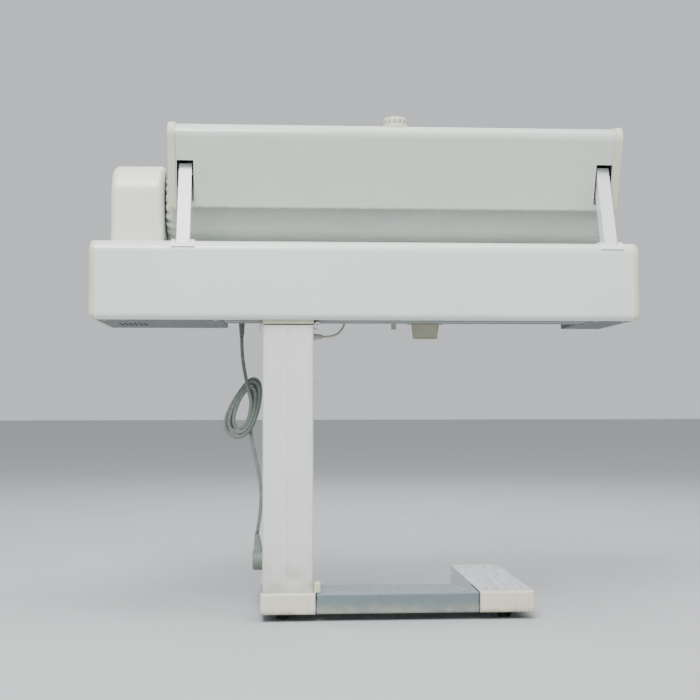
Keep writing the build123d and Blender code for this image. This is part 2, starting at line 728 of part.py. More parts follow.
with BuildPart() as arm_collars:
    for arm_x in arm_places:
        outer_r = casing_top_round + collar_thickness
        middle = (collar_start + 90) / 2
        with BuildSketch(across(arm_x - collar_width / 2)):
            with BuildLine():
                ThreePointArc(on_round(outer_r, collar_start), on_round(outer_r, middle), on_round(outer_r, 90))
                Polyline(on_round(outer_r, 90), (collar_front, casing_top + collar_thickness),
                         (collar_front, casing_top), on_round(casing_top_round, 90))
                ThreePointArc(on_round(casing_top_round, 90), on_round(casing_top_round, middle),
                              on_round(casing_top_round, collar_start))
                Line(on_round(casing_top_round, collar_start), on_round(outer_r, collar_start))
            make_face()
        extrude(amount=collar_width)
        with BuildSketch(Plane.XY.offset(casing_top - 2 * casing_top_round)):
            with Locations((arm_x, (slot_rear + slot_front) / 2)):
                Rectangle(arm_width + 2.4, slot_front - slot_rear)
        extrude(amount=3 * casing_top_round, mode=Mode.SUBTRACT)
arm_collars.part.label = "arm_collars"
export_step(arm_collars.part, "parts/arm_collars.step")

# ---- lift inside the casing ---------------------------------------------------------------------------------------
bearing_places = (arm_places[0] + 32, hood_x - 60, arm_places[1] - 48)
with BuildPart() as shaft_bearings:
    for bearing_x in bearing_places:
        with BuildSketch(across(bearing_x)):
            with Locations((lift_y, (pan_top + lift_z) / 2)):
                Rectangle(44, lift_z - pan_top)
            with Locations((lift_y, lift_z)):
                Circle(22)
                Circle(lift_radius + running, mode=Mode.SUBTRACT)
        extrude(amount=16)
shaft_bearings.part.label = "shaft_bearings"
export_step(shaft_bearings.part, "parts/shaft_bearings.step")

sector_x = hood_x - 20
lift_reach = lift_module * (sector_teeth + lift_pinion_teeth) / 2 + 0.15
with BuildPart() as lift_shaft:
    with BuildSketch(across(arm_places[0] - arm_width / 2 - 3)):
        with Locations((lift_y, lift_z)):
            Circle(lift_radius)
    extrude(amount=arm_places[1] - arm_places[0] + arm_width + 6)
    with BuildSketch(across(sector_x)):
        with Locations(lift_axis):
            Circle(lift_radius + 6)
        with BuildLine():
            Polyline((lift_y, lift_z - 2), *gear_points(lift_axis, sector_teeth, lift_module, 0, first=-2, count=5),
                     (lift_y, lift_z + 2), close=True)
        make_face()
    extrude(amount=10)
lift_shaft.part.label = "lift_shaft"
export_step(lift_shaft.part, "parts/lift_shaft.step")

motor_face = sector_x + 18
pinion_phase = 180 + 180 / lift_pinion_teeth
with BuildPart() as lift_pinion:
    with BuildSketch(across(sector_x - 1)):
        with BuildLine():
            Polyline(*gear_points((lift_y + lift_reach, lift_z), lift_pinion_teeth, lift_module, pinion_phase),
                     close=True)
        make_face()
    extrude(amount=12)
    with BuildSketch(across(sector_x)):
        with Locations((lift_y + lift_reach, lift_z)):
            Circle(4)
    extrude(amount=28)
lift_pinion.part.label = "lift_pinion"
export_step(lift_pinion.part, "parts/lift_pinion.step")

with BuildPart() as lift_motor:
    with BuildSketch(across(motor_face)):
        with Locations((lift_y + lift_reach, lift_z)):
            Circle(lift_motor_radius)
        with Locations((lift_y + lift_reach, (pan_top + lift_z) / 2)):
            Rectangle(40, lift_z - pan_top)
    extrude(amount=26)
    with BuildSketch(across(motor_face + 26)):
        with Locations((lift_y + lift_reach, lift_z)):
            Circle(lift_motor_radius - 4)
    extrude(amount=64)
    fillet(lift_motor.faces().sort_by(Axis.X)[-1].edges(), 5)
    with BuildSketch(across(motor_face)):
        with Locations((lift_y + lift_reach, lift_z)):
            Circle(4 + running)
    extrude(amount=12, mode=Mode.SUBTRACT)
lift_motor.part.label = "lift_motor"
export_step(lift_motor.part, "parts/lift_motor.step")

boss_radius = lift_radius + 7
for side, arm_x in zip(("left", "right"), arm_places):
    with BuildPart() as arm:
        rear_low = (arm_foot_y - 10 * arm_along[0], casing_top - 10 * arm_along[1])
        front_low_point = (rear_low[0] + arm_depth * arm_across[0], rear_low[1] + arm_depth * arm_across[1])
        front_top = (arm_top[0] + arm_depth * arm_across[0], arm_top[1] + arm_depth * arm_across[1])
        with BuildSketch(across(arm_x - arm_width / 2)):
            with BuildLine():
                Polyline(arm_top, front_top, front_low_point, (lift_y + boss_radius, lift_z),
                         (lift_y - boss_radius, lift_z), rear_low, close=True)
            make_face()
            with Locations((lift_y, lift_z)):
                Circle(boss_radius)
                Circle(lift_radius, mode=Mode.SUBTRACT)
            with Locations(hood_pivot):
                Circle(hood_pin_radius + running, mode=Mode.SUBTRACT)
        extrude(amount=arm_width)
        fillet(arm.edges().filter_by(Axis.X).sort_by(Axis.Z)[-2:], 3)
    arm.part.label = f"arm_{side}"
    export_step(arm.part, f"parts/arm_{side}.step")

# ---- roller and its drive -----------------------------------------------------------------------------------------
drive_reach = gear_module * (gear_teeth + pinion_teeth) / 2 + 0.12
pillar_a = housing_right - 14
pillar_b = housing_right - 43
gear_x = pillar_a - gear_width - 2
pillar_thickness = 9.0
motor_y = drive_reach
with BuildPart() as roller_pillars:
    for pillar_x, reach, thickness in ((pillar_a, 34, pillar_thickness), (pillar_b, 98, pillar_thickness + 4)):
        with BuildSketch(across(pillar_x)):
            with BuildLine():
                Polyline((-34, pan_top), (reach, pan_top), (reach, roller_height), (-34, roller_height), close=True)
            make_face()
            with Locations(roller_axis):
                Circle(34)
            if reach > 34:
                with Locations((motor_y, roller_height)):
                    Circle(drive_motor_radius)
                    Circle(7, mode=Mode.SUBTRACT)
            with Locations(roller_axis):
                Circle(shaft_radius + running, mode=Mode.SUBTRACT)
        extrude(amount=thickness)
roller_pillars.part.label = "roller_pillars"
export_step(roller_pillars.part, "parts/roller_pillars.step")

with BuildPart() as roller_shaft:
    with BuildSketch(across(pillar_b - 3)):
        with Locations((0, roller_height)):
            Circle(shaft_radius)
    extrude(amount=roller_right - 8 - pillar_b + 3)
roller_shaft.part.label = "roller_shaft"
export_step(roller_shaft.part, "parts/roller_shaft.step")

with BuildPart() as roller_gear:
    with BuildSketch(across(gear_x)):
        with BuildLine():
            Polyline(*gear_points(roller_axis, gear_teeth, gear_module, 0), close=True)
        make_face()
        with Locations(roller_axis):
            Circle(shaft_radius, mode=Mode.SUBTRACT)
            with PolarLocations(30, 5):
                Circle(7, mode=Mode.SUBTRACT)
    extrude(amount=gear_width)
roller_gear.part.label = "roller_gear"
export_step(roller_gear.part, "parts/roller_gear.step")

with BuildPart() as motor_pinion:
    with BuildSketch(across(gear_x - 0.5)):
        with BuildLine():
            Polyline(*gear_points((motor_y, roller_height), pinion_teeth, gear_module, 180 + 180 / pinion_teeth),
                     close=True)
        make_face()
    extrude(amount=gear_width + 1)
    with BuildSketch(across(pillar_b - 10)):
        with Locations((motor_y, roller_height)):
            Circle(4)
    extrude(amount=gear_x - pillar_b + 12)
motor_pinion.part.label = "motor_pinion"
export_step(motor_pinion.part, "parts/motor_pinion.step")

with BuildPart() as drive_motor:
    motor_length = pillar_b - housing_left - housing_wall - 3
    with BuildSketch(across(pillar_b)):
        with Locations((motor_y, roller_height)):
            Circle(drive_motor_radius)
    extrude(amount=-motor_length)
    fillet(drive_motor.faces().sort_by(Axis.X)[0].edges(), 4)
    with BuildSketch(across(pillar_b)):
        with Locations((motor_y, roller_height)):
            Circle(4 + running)
    extrude(amount=-12, mode=Mode.SUBTRACT)
drive_motor.part.label = "drive_motor"
export_step(drive_motor.part, "parts/drive_motor.step")

with BuildPart() as drive_housing:
    with BuildSketch(across(housing_left)):
        with BuildLine():
            Polyline((housing_rear, casing_top), (housing_rear, roller_height + housing_over),
                     (housing_front, roller_height + housing_over),
                     (housing_front, casing_top), close=True)
        make_face()
        fillet(vertices().group_by(Axis.Y)[-1], housing_round)
    extrude(amount=housing_length)
    fillet(drive_housing.faces().sort_by(Axis.X)[0].edges().filter_by(
        lambda edge: edge.center().Z > casing_top + 1), 13)
    fillet(drive_housing.faces().sort_by(Axis.X)[-1].edges().filter_by(
        lambda edge: edge.center().Z > casing_top + 1), 11)
    offset(amount=-housing_wall, openings=drive_housing.faces().sort_by(Axis.Z)[0])
    with BuildSketch(across(housing_right + 1)):
        with Locations((0, roller_height)):
            Circle(shaft_radius + 6)
    extrude(amount=-housing_wall - 2, mode=Mode.SUBTRACT)
drive_housing.part.label = "drive_housing"
export_step(drive_housing.part, "parts/drive_housing.step")

end_disc = 6.0
with BuildPart() as roller_tube:
    with BuildSketch(across(roller_left + 10)):
        with Locations((0, roller_height)):
            Circle(core_radius)
            Circle(core_radius - tube_wall, mode=Mode.SUBTRACT)
    extrude(amount=roller_length - 20)
    for disc_x in (roller_left + 10, roller_right - 10 - end_disc):
        with BuildSketch(across(disc_x)):
            with Locations((0, roller_height)):
                Circle(core_radius)
                Circle(shaft_radius, mode=Mode.SUBTRACT)
        extrude(amount=end_disc)
roller_tube.part.label = "roller_tube"
export_step(roller_tube.part, "parts/roller_tube.step")

gather = 16.0  # radius of the cloth's rounded ends
with BuildPart() as roller_cloth:
    with BuildSketch(Plane(origin=(0, 0, roller_height), x_dir=(1, 0, 0), z_dir=(0, -1, 0))):
        with BuildLine():
            Polyline((roller_left + 10, core_radius), (roller_left + 10, core_radius - 22),
                     (roller_left, core_radius - 22), (roller_left, roller_radius - gather))
            RadiusArc((roller_left, roller_radius - gather), (roller_left + gather, roller_radius), gather)
            Polyline((roller_left + gather, roller_radius), (roller_right - gather, roller_radius))
            RadiusArc((roller_right - gather, roller_radius), (roller_right, roller_radius - gather), gather)
            Polyline((roller_right, roller_radius - gather), (roller_right, core_radius - 22),
                     (roller_right - 10, core_radius - 22), (roller_right - 10, core_radius),
                     (roller_left + 10, core_radius))
        make_face()
    revolve(axis=Axis((0, 0, roller_height), (1, 0, 0)))
roller_cloth.part.label = "roller_cloth"
export_step(roller_cloth.part, "parts/roller_cloth.step")

# ---- hood ---------------------------------------------------------------------------------------------------------
shell_left = hood_left + hood_cap
shell_right = hood_right - hood_cap
hood_top = roller_height + roller_radius + hood_over
plate_end = on_arc(heater_radius + heater_thickness, heater_low)
hood_low = (plate_end[0] - hood_rear_gap, roller_height - hood_lip_drop)  # rear lower edge
hood_slope = math.tan(math.radians(hood_lean))
hood_corner = (hood_low[0] - (hood_top - hood_low[1]) * hood_slope, hood_top)
nose_y = 22.0
nose_z = roller_height + roller_radius + 9

with BuildPart() as hood_shell:
    with BuildSketch(across(shell_left)):
        with BuildLine():
            outline = FilletPolyline((plate_end[0] - 1.5, hood_low[1] + 1), hood_low, hood_corner,
                                     (-40, hood_top), (nose_y, hood_top - 12), (nose_y, nose_z),
                                     (nose_y - 10, nose_z), radius=[3, hood_round, 40, 5, 2])
            offset(outline, amount=hood_wall, side=Side.LEFT)
        make_face()
    extrude(amount=shell_right - shell_left)
    for arm_x in arm_places:
        with BuildSketch(Plane.XZ.offset(-hood_low[0])):
            with Locations((arm_x, roller_height + (slot_over - slot_under) / 2)):
                Rectangle(slot_width, slot_over + slot_under)
        extrude(amount=80, mode=Mode.SUBTRACT)
    with BuildSketch(Plane.XY.offset(hood_top + 1)):
        with Locations((hood_x, knob_y)):
            Circle(knob_stem_radius + play)
    extrude(amount=-hood_wall - 2, mode=Mode.SUBTRACT)
hood_shell.part.label = "hood_shell"
export_step(hood_shell.part, "parts/hood_shell.step")

guard_pin = (nose_y + 3, nose_z + 14)
guard_pin_radius = 2.0
for side, start, outwards in (("left", shell_left, -1), ("right", shell_right, 1)):
    with BuildPart() as hood_end_cap:
        with BuildSketch(across(start)):
            with BuildLine():
                FilletPolyline((on_arc(heater_radius + 1.5, heater_low)[0], hood_low[1] - 3),
                               (hood_low[0] - hood_proud + 1, hood_low[1] - hood_proud),
                               (hood_corner[0] - hood_proud - 1.3, hood_top + hood_proud),
                               (-40, hood_top + hood_proud), (nose_y + 12, hood_top - 10),
                               (nose_y + 12, nose_z - 1), (nose_y - 12, nose_z - 1),
                               radius=[6, hood_round + 3, 40, 8, 4])
                Line((nose_y - 12, nose_z - 1), (on_arc(heater_radius + 1.5, heater_low)[0], hood_low[1] - 3))
            make_face()
            with Locations(plate_axis):
                Circle(heater_radius + 1.5, mode=Mode.SUBTRACT)
            with Locations(guard_pin):
                Circle(guard_pin_radius + running, mode=Mode.SUBTRACT)
        extrude(amount=outwards * hood_cap)
        outer = hood_end_cap.faces().filter_by(Axis.X).sort_by(Axis.X)[0 if outwards < 0 else -1]
        rim = [edge for edge in outer.outer_wire().edges()
               if math.dist((edge.center().Y, edge.center().Z), plate_axis) > heater_radius + 9]
        fillet(rim, 3)
    hood_end_cap.part.label = f"hood_end_cap_{side}"
    export_step(hood_end_cap.part, f"parts/hood_end_cap_{side}.step")

# The heater plate's lugs stand on both sides of each arm's top and hold the pivot pins.
lug_places = []
for arm_x in arm_places:
    lug_places += [arm_x - arm_width / 2 - lug_gap - pivot_lug, arm_x + arm_width / 2 + lug_gap]
with BuildPart() as heater_plate:
    with BuildSketch(across(shell_left + 0.5)):
        with BuildLine():
            outer_low, outer_high = (on_arc(heater_radius + heater_thickness, end) for end in (heater_low, heater_high))
            inner_low, inner_high = (on_arc(heater_radius, end) for end in (heater_low, heater_high))
            middle = (heater_low + heater_high) / 2
            ThreePointArc(outer_low, on_arc(heater_radius + heater_thickness, middle), outer_high)
            Line(outer_high, inner_high)
            ThreePointArc(inner_high, on_arc(heater_radius, middle), inner_low)
            Line(inner_low, outer_low)
        make_face()
    extrude(amount=shell_right - shell_left - 1)
    for lug_x in lug_places:
        with BuildSketch(across(lug_x)):
            with BuildLine():
                Polyline(on_arc(heater_radius + heater_thickness - 2, 4),
                         on_arc(heater_radius + heater_thickness - 2, 34),
                         (hood_pivot[0] + 2, hood_pivot[1] + 9), (hood_pivot[0] - 2, hood_pivot[1] - 9), close=True)
            make_face()
            with Locations(hood_pivot):
                Circle(9)
                Circle(hood_pin_radius, mode=Mode.SUBTRACT)
            with Locations(plate_axis):
                Circle(heater_radius + heater_thickness - 3, mode=Mode.SUBTRACT)
        extrude(amount=pivot_lug)
heater_plate.part.label = "heater_plate"
export_step(heater_plate.part, "parts/heater_plate.step")

with BuildPart() as hood_pivot_pins:
    for arm_x in arm_places:
        with BuildSketch(across(arm_x - arm_width / 2 - lug_gap - pivot_lug)):
            with Locations(hood_pivot):
                Circle(hood_pin_radius)
        extrude(amount=arm_width + 2 * lug_gap + 2 * pivot_lug)
hood_pivot_pins.part.label = "hood_pivot_pins"
export_step(hood_pivot_pins.part, "parts/hood_pivot_pins.step")

with BuildPart() as finger_guard:
    with BuildSketch(across(shell_left + 1)):
        with BuildLine():
            Polyline((guard_pin[0] + 5, guard_pin[1] + 3), (guard_pin[0] + 8, guard_pin[1] + 3),
                     (guard_pin[0] + 8, guard_pin[1] - 19), (guard_pin[0] + 5, guard_pin[1] - 19), close=True)
        make_face()
    extrude(amount=shell_right - shell_left - 2)
    for start in (shell_left + 1, shell_right - 1 - 3):
        with BuildSketch(across(start)):
            with Locations((guard_pin[0] + 3, guard_pin[1])):
                Rectangle(5, 6)
            with Locations(guard_pin):
                Circle(2.8)
        extrude(amount=3)
    for start, length in ((shell_left - 8, 9), (shell_right - 1, 9)):
        with BuildSketch(across(start)):
            with Locations(guard_pin):
                Circle(guard_pin_radius)
        extrude(amount=length)
finger_guard.part.label = "finger_guard"
export_step(finger_guard.part, "parts/finger_guard.step")

with BuildPart() as temperature_knob:
    with BuildSketch(Plane.XY.offset(hood_top + play)):
        with Locations((hood_x, knob_y)):
            Circle(knob_radius)
    extrude(amount=9, taper=4)
    with BuildSketch(Plane.XY.offset(hood_top + play + 9)):
        with Locations((hood_x, knob_y)):
            Circle(knob_radius - 3)
    extrude(amount=knob_height - 9, taper=5)
    fillet(temperature_knob.faces().sort_by(Axis.Z)[-1].edges(), 2)
    with BuildSketch(Plane.XY.offset(hood_top - 9)):
        with Locations((hood_x, knob_y)):
            Circle(knob_stem_radius)
    extrude(amount=10 + play)
temperature_knob.part.label = "temperature_knob"
export_step(temperature_knob.part, "parts/temperature_knob.step")

# The thermostat hangs inside the hood and carries the knob's stem.
with BuildPart() as thermostat:
    with BuildSketch(Plane.XY.offset(hood_top - hood_wall - 16)):
        with Locations((hood_x, knob_y)):
            RectangleRounded(36, 30, 3)
    extrude(amount=16)
    with BuildSketch(Plane.XY.offset(hood_top - 12)):
        with Locations((hood_x, knob_y)):
            Circle(knob_stem_radius + running)
    extrude(amount=14, mode=Mode.SUBTRACT)
thermostat.part.label = "thermostat"
export_step(thermostat.part, "parts/thermostat.step")

# ---- controls -----------------------------------------------------------------------------------------------------
panel_height = 5.0
with BuildPart() as control_panel:
    with BuildSketch(Plane.XY.offset(casing_top)):
        with Locations((button_x + 5, button_y)):
            RectangleRounded(84, 36, 5)
        with Locations((button_x, button_y)):
            Rectangle(button_length + 2 * play, button_depth + 2 * play, mode=Mode.SUBTRACT)
    extrude(amount=panel_height)
control_panel.part.label = "control_panel"
export_step(control_panel.part, "parts/control_panel.step")

with BuildPart() as power_button:
    with BuildSketch(Plane.XY.offset(casing_top - 2)):
        with Locations((button_x, button_y)):
            RectangleRounded(button_length, button_depth, 2)
    extrude(amount=panel_height + 2 + button_travel + 1)
power_button.part.label = "power_button"
export_step(power_button.part, "parts/power_button.step")

# ---- leads --------------------------------------------------------------------------------------------------------
relief_place = (-228.6, -25.0)
relief_length = 40.0
with BuildPart() as cord_strain_relief:
    with BuildSketch(Plane.XY.offset(pan_bottom)):
        with Locations(relief_place):
            Circle(8)
    extrude(amount=-3)
    with BuildSketch(Plane.XY.offset(pan_bottom - 3)):
        with Locations(relief_place):
            Circle(6)
    extrude(amount=3 - relief_length, taper=3)
cord_strain_relief.part.label = "cord_strain_relief"
export_step(cord_strain_relief.part, "parts/cord_strain_relief.step")


def corner_radii(points):
    """The radius at each corner of a lead's route: 0.45 of the shorter run over the tangent of half the turn."""
    radii = []
    for before, corner, after in zip(points, points[1:], points[2:]):
        run_in, run_out = Vector(*corner) - Vector(*before), Vector(*after) - Vector(*corner)
        half_turn = math.radians(run_in.get_angle(run_out)) / 2
        radii.append(0.45 * min(run_in.length, run_out.length) / math.tan(half_turn))
    return radii


def lead(name, points, diameter):
    """A round lead along straight runs joined by arcs, written as its own node."""
    radii = corner_radii(points)
    print(name, "radii", [round(radius) for radius in radii])
    with BuildPart() as tube:
        with BuildLine():
            route = FilletPolyline(*points, radius=radii)
        start = Plane(origin=route @ 0, z_dir=route % 0)
        with BuildSketch(start):
            Circle(diameter / 2)
        sweep(path=route)
    print(name, "length", round(route.length, 1), "volume over section times length",
          round(tube.part.volume / (math.pi * diameter**2 / 4 * route.length), 4))
    tube.part.label = name
    export_step(tube.part, f"parts/{name}.step")


lead_y = relief_place[1]
upper_route = [(-228.6, lead_y, 513.0), (-228.6, lead_y, 486.5), (-224.2, lead_y, 448.5), (-216.5, lead_y, 409.5)]
lower_route = [(-214.5, lead_y, 333.0), (-203.9, lead_y, 293.5), (-196.0, lead_y, 255.0), (-190.6, lead_y, 218.5),
               (-192.4, lead_y, 178.0), (-198.8, lead_y, 139.0)]
lead("mains_cord_upper", upper_route, lead_diameter)
lead("mains_cord_lower", lower_route, lead_diameter)

# The spare lead is tied into a tall loop that hangs a little askew.
coil_centre = (-229.1, 373.2)
coil_long, coil_short = 61.6, 36.9  # half sizes outside
coil_eye = (28.0, 7.0)  # half sizes of the hole
coil_thickness = 17.0
coil_lean = 16.7
with BuildPart() as mains_cord_coil:
    with BuildSketch(Plane.XZ.offset(-lead_y - coil_thickness / 2)):
        with Locations(coil_centre):
            Ellipse(coil_short, coil_long, rotation=-coil_lean)
            Ellipse(coil_eye[1], coil_eye[0], rotation=-coil_lean, mode=Mode.SUBTRACT)
    extrude(amount=coil_thickness)
mains_cord_coil.part.label = "mains_cord_coil"
export_step(mains_cord_coil.part, "parts/mains_cord_coil.step")

plug_z = 90.0
plug_radius = 19.0
plug_back, plug_face = -207.0, -183.0
pin_length = 19.0
pin_pitch = 19.0
plug_neck_x = lower_route[-1][0]
with BuildPart() as mains_plug:
    with BuildSketch(Plane.YZ.offset(plug_back)):
        with Locations((lead_y, plug_z)):
            Circle(plug_radius)
    extrude(amount=plug_face - plug_back)
    fillet(mains_plug.edges().filter_by(GeomType.CIRCLE), 3)
    with BuildSketch(Plane.YZ.offset(plug_face - 1)):
        with Locations((lead_y - pin_pitch / 2, plug_z), (lead_y + pin_pitch / 2, plug_z)):
            Circle(2.4)
    extrude(amount=pin_length + 1)
    with BuildSketch(Plane.XY.offset(lower_route[-1][2])):
        with Locations((plug_neck_x, lead_y)):
            Circle(4.4)
    with BuildSketch(Plane.XY.offset(plug_z)):
        with Locations(((plug_back + plug_face) / 2, lead_y)):
            RectangleRounded(plug_face - plug_back - 2, plug_radius * 1.3, 6)
    loft()
mains_plug.part.label = "mains_plug"
export_step(mains_plug.part, "parts/mains_plug.step")

pedal_exit = (column_right, -75.0, 509.0)
pedal_plug_length = 20.0
pedal_plug_radius = 6.8
with BuildPart() as pedal_cable_plug:
    with BuildSketch(Plane.YZ.offset(pedal_exit[0])):
        with Locations(pedal_exit[1:]):
            Circle(pedal_plug_radius)
    extrude(amount=pedal_plug_length, taper=8)
pedal_cable_plug.part.label = "pedal_cable_plug"
export_step(pedal_cable_plug.part, "parts/pedal_cable_plug.step")

pedal_route = [(-77.0, -75.0, 509.0), (-62.0, -75.0, 509.0), (-49.0, -68.0, 514.0), (-39.5, -59.5, 523.5),
               (-34.0, -53.0, 535.5), (-34.0, -53.0, 549.0)]
lead("pedal_cable", pedal_route, pedal_lead_diameter)
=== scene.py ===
"""Looks of a folding rotary ironer on a wheeled stand.

Laid out as an add-on, with one operator for each group of pieces.
"""

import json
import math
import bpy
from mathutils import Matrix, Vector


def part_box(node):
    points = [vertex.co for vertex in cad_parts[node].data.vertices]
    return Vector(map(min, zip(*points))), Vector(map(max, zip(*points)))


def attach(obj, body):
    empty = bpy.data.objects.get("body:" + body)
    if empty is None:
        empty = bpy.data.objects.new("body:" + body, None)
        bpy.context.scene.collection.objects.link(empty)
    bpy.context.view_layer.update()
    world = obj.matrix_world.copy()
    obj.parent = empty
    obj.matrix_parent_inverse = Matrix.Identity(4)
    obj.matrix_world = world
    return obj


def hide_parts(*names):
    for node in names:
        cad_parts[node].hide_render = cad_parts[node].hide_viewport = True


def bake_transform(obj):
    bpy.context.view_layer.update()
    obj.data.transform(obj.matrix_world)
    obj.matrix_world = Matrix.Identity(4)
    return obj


bl_info = {
    "name": "Rotary Ironer",
    "version": (1, 0, 0),
    "blender": (4, 5, 0),
    "location": "View3D > Sidebar > Ironer",
    "description": "Builds the cloth, leads, knob, screws and finishes of a folding rotary ironer",
    "category": "Object",
}

import bmesh
import bpy
from bpy.props import FloatProperty, FloatVectorProperty, IntProperty, PointerProperty
from mathutils import Euler, Matrix, Vector

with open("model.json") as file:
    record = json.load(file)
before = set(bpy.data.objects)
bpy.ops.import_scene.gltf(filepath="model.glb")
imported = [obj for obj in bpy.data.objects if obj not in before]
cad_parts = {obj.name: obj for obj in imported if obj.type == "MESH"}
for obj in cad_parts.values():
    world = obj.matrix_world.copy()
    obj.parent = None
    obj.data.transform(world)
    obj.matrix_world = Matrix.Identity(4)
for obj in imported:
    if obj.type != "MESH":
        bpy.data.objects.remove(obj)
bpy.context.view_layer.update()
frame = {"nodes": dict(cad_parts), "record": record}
MM = 0.001


# ---- sizes and colours that a user may change ----------------------------------------------------
class IronerFinishes(bpy.types.PropertyGroup):
    """Colours of the paints, plastics and cloth; the hood's colour is darkened as painted shade"""

    casing: FloatVectorProperty(
        name="Casing enamel", description="Colour of the casing's enamel", subtype="COLOR", size=3, min=0,
        max=1, default=(0.75, 0.82, 0.745))
    # The hood's default is the white enamel darkened as painted shade for the panel that faces down; its
    # greenish tint is its own
    hood: FloatVectorProperty(
        name="Hood enamel with painted shade", description="Colour of the hood's enamel, darkened as painted shade", subtype="COLOR", size=3, min=0, max=1,
        default=(0.61, 0.68, 0.60))
    cream: FloatVectorProperty(
        name="Cream plastic", description="Colour of the aged end caps", subtype="COLOR", size=3, min=0,
        max=1, default=(0.65, 0.69, 0.52))
    cloth: FloatVectorProperty(
        name="Roller cloth", description="Colour of the roller's cotton cover", subtype="COLOR", size=3,
        min=0, max=1, default=(0.72, 0.75, 0.74))
    bar: FloatVectorProperty(
        name="Foot bar", description="Colour of the foot bar's paint", subtype="COLOR", size=3, min=0, max=1,
        default=(0.155, 0.205, 0.215))
    lead: FloatVectorProperty(
        name="Mains lead", description="Colour of the mains lead", subtype="COLOR", size=3, min=0, max=1,
        default=(0.21, 0.245, 0.215))


class IronerSizes(bpy.types.PropertyGroup):
    """Sizes of the pieces that are made here"""

    gathers: IntProperty(
        name="Gathers", description="Folds round each end of the roller's cover", default=27, min=8, max=90)
    gather_depth: FloatProperty(
        name="Gather depth", description="Height of a fold at the cover's edge", default=0.0032, min=0,
        max=0.006, subtype="DISTANCE", unit="LENGTH")
    lead_diameter: FloatProperty(
        name="Mains lead", description="Diameter of the mains lead", default=0.0068, min=0.004, max=0.012,
        subtype="DISTANCE", unit="LENGTH")
    pedal_diameter: FloatProperty(
        name="Foot switch lead", description="Diameter of the foot switch's lead", default=0.0043, min=0.002,
        max=0.01, subtype="DISTANCE", unit="LENGTH")
    coil_turns: IntProperty(
        name="Turns", description="Turns of the tied coil in the mains lead", default=5, min=2, max=9)
    knob_ribs: IntProperty(
        name="Knob ribs", description="Grip ribs round the temperature knob", default=40, min=8, max=90)
    screw_radius: FloatProperty(
        name="Screw head", description="Radius of a casing screw's head", default=0.0034, min=0.001, max=0.01,
        subtype="DISTANCE", unit="LENGTH")


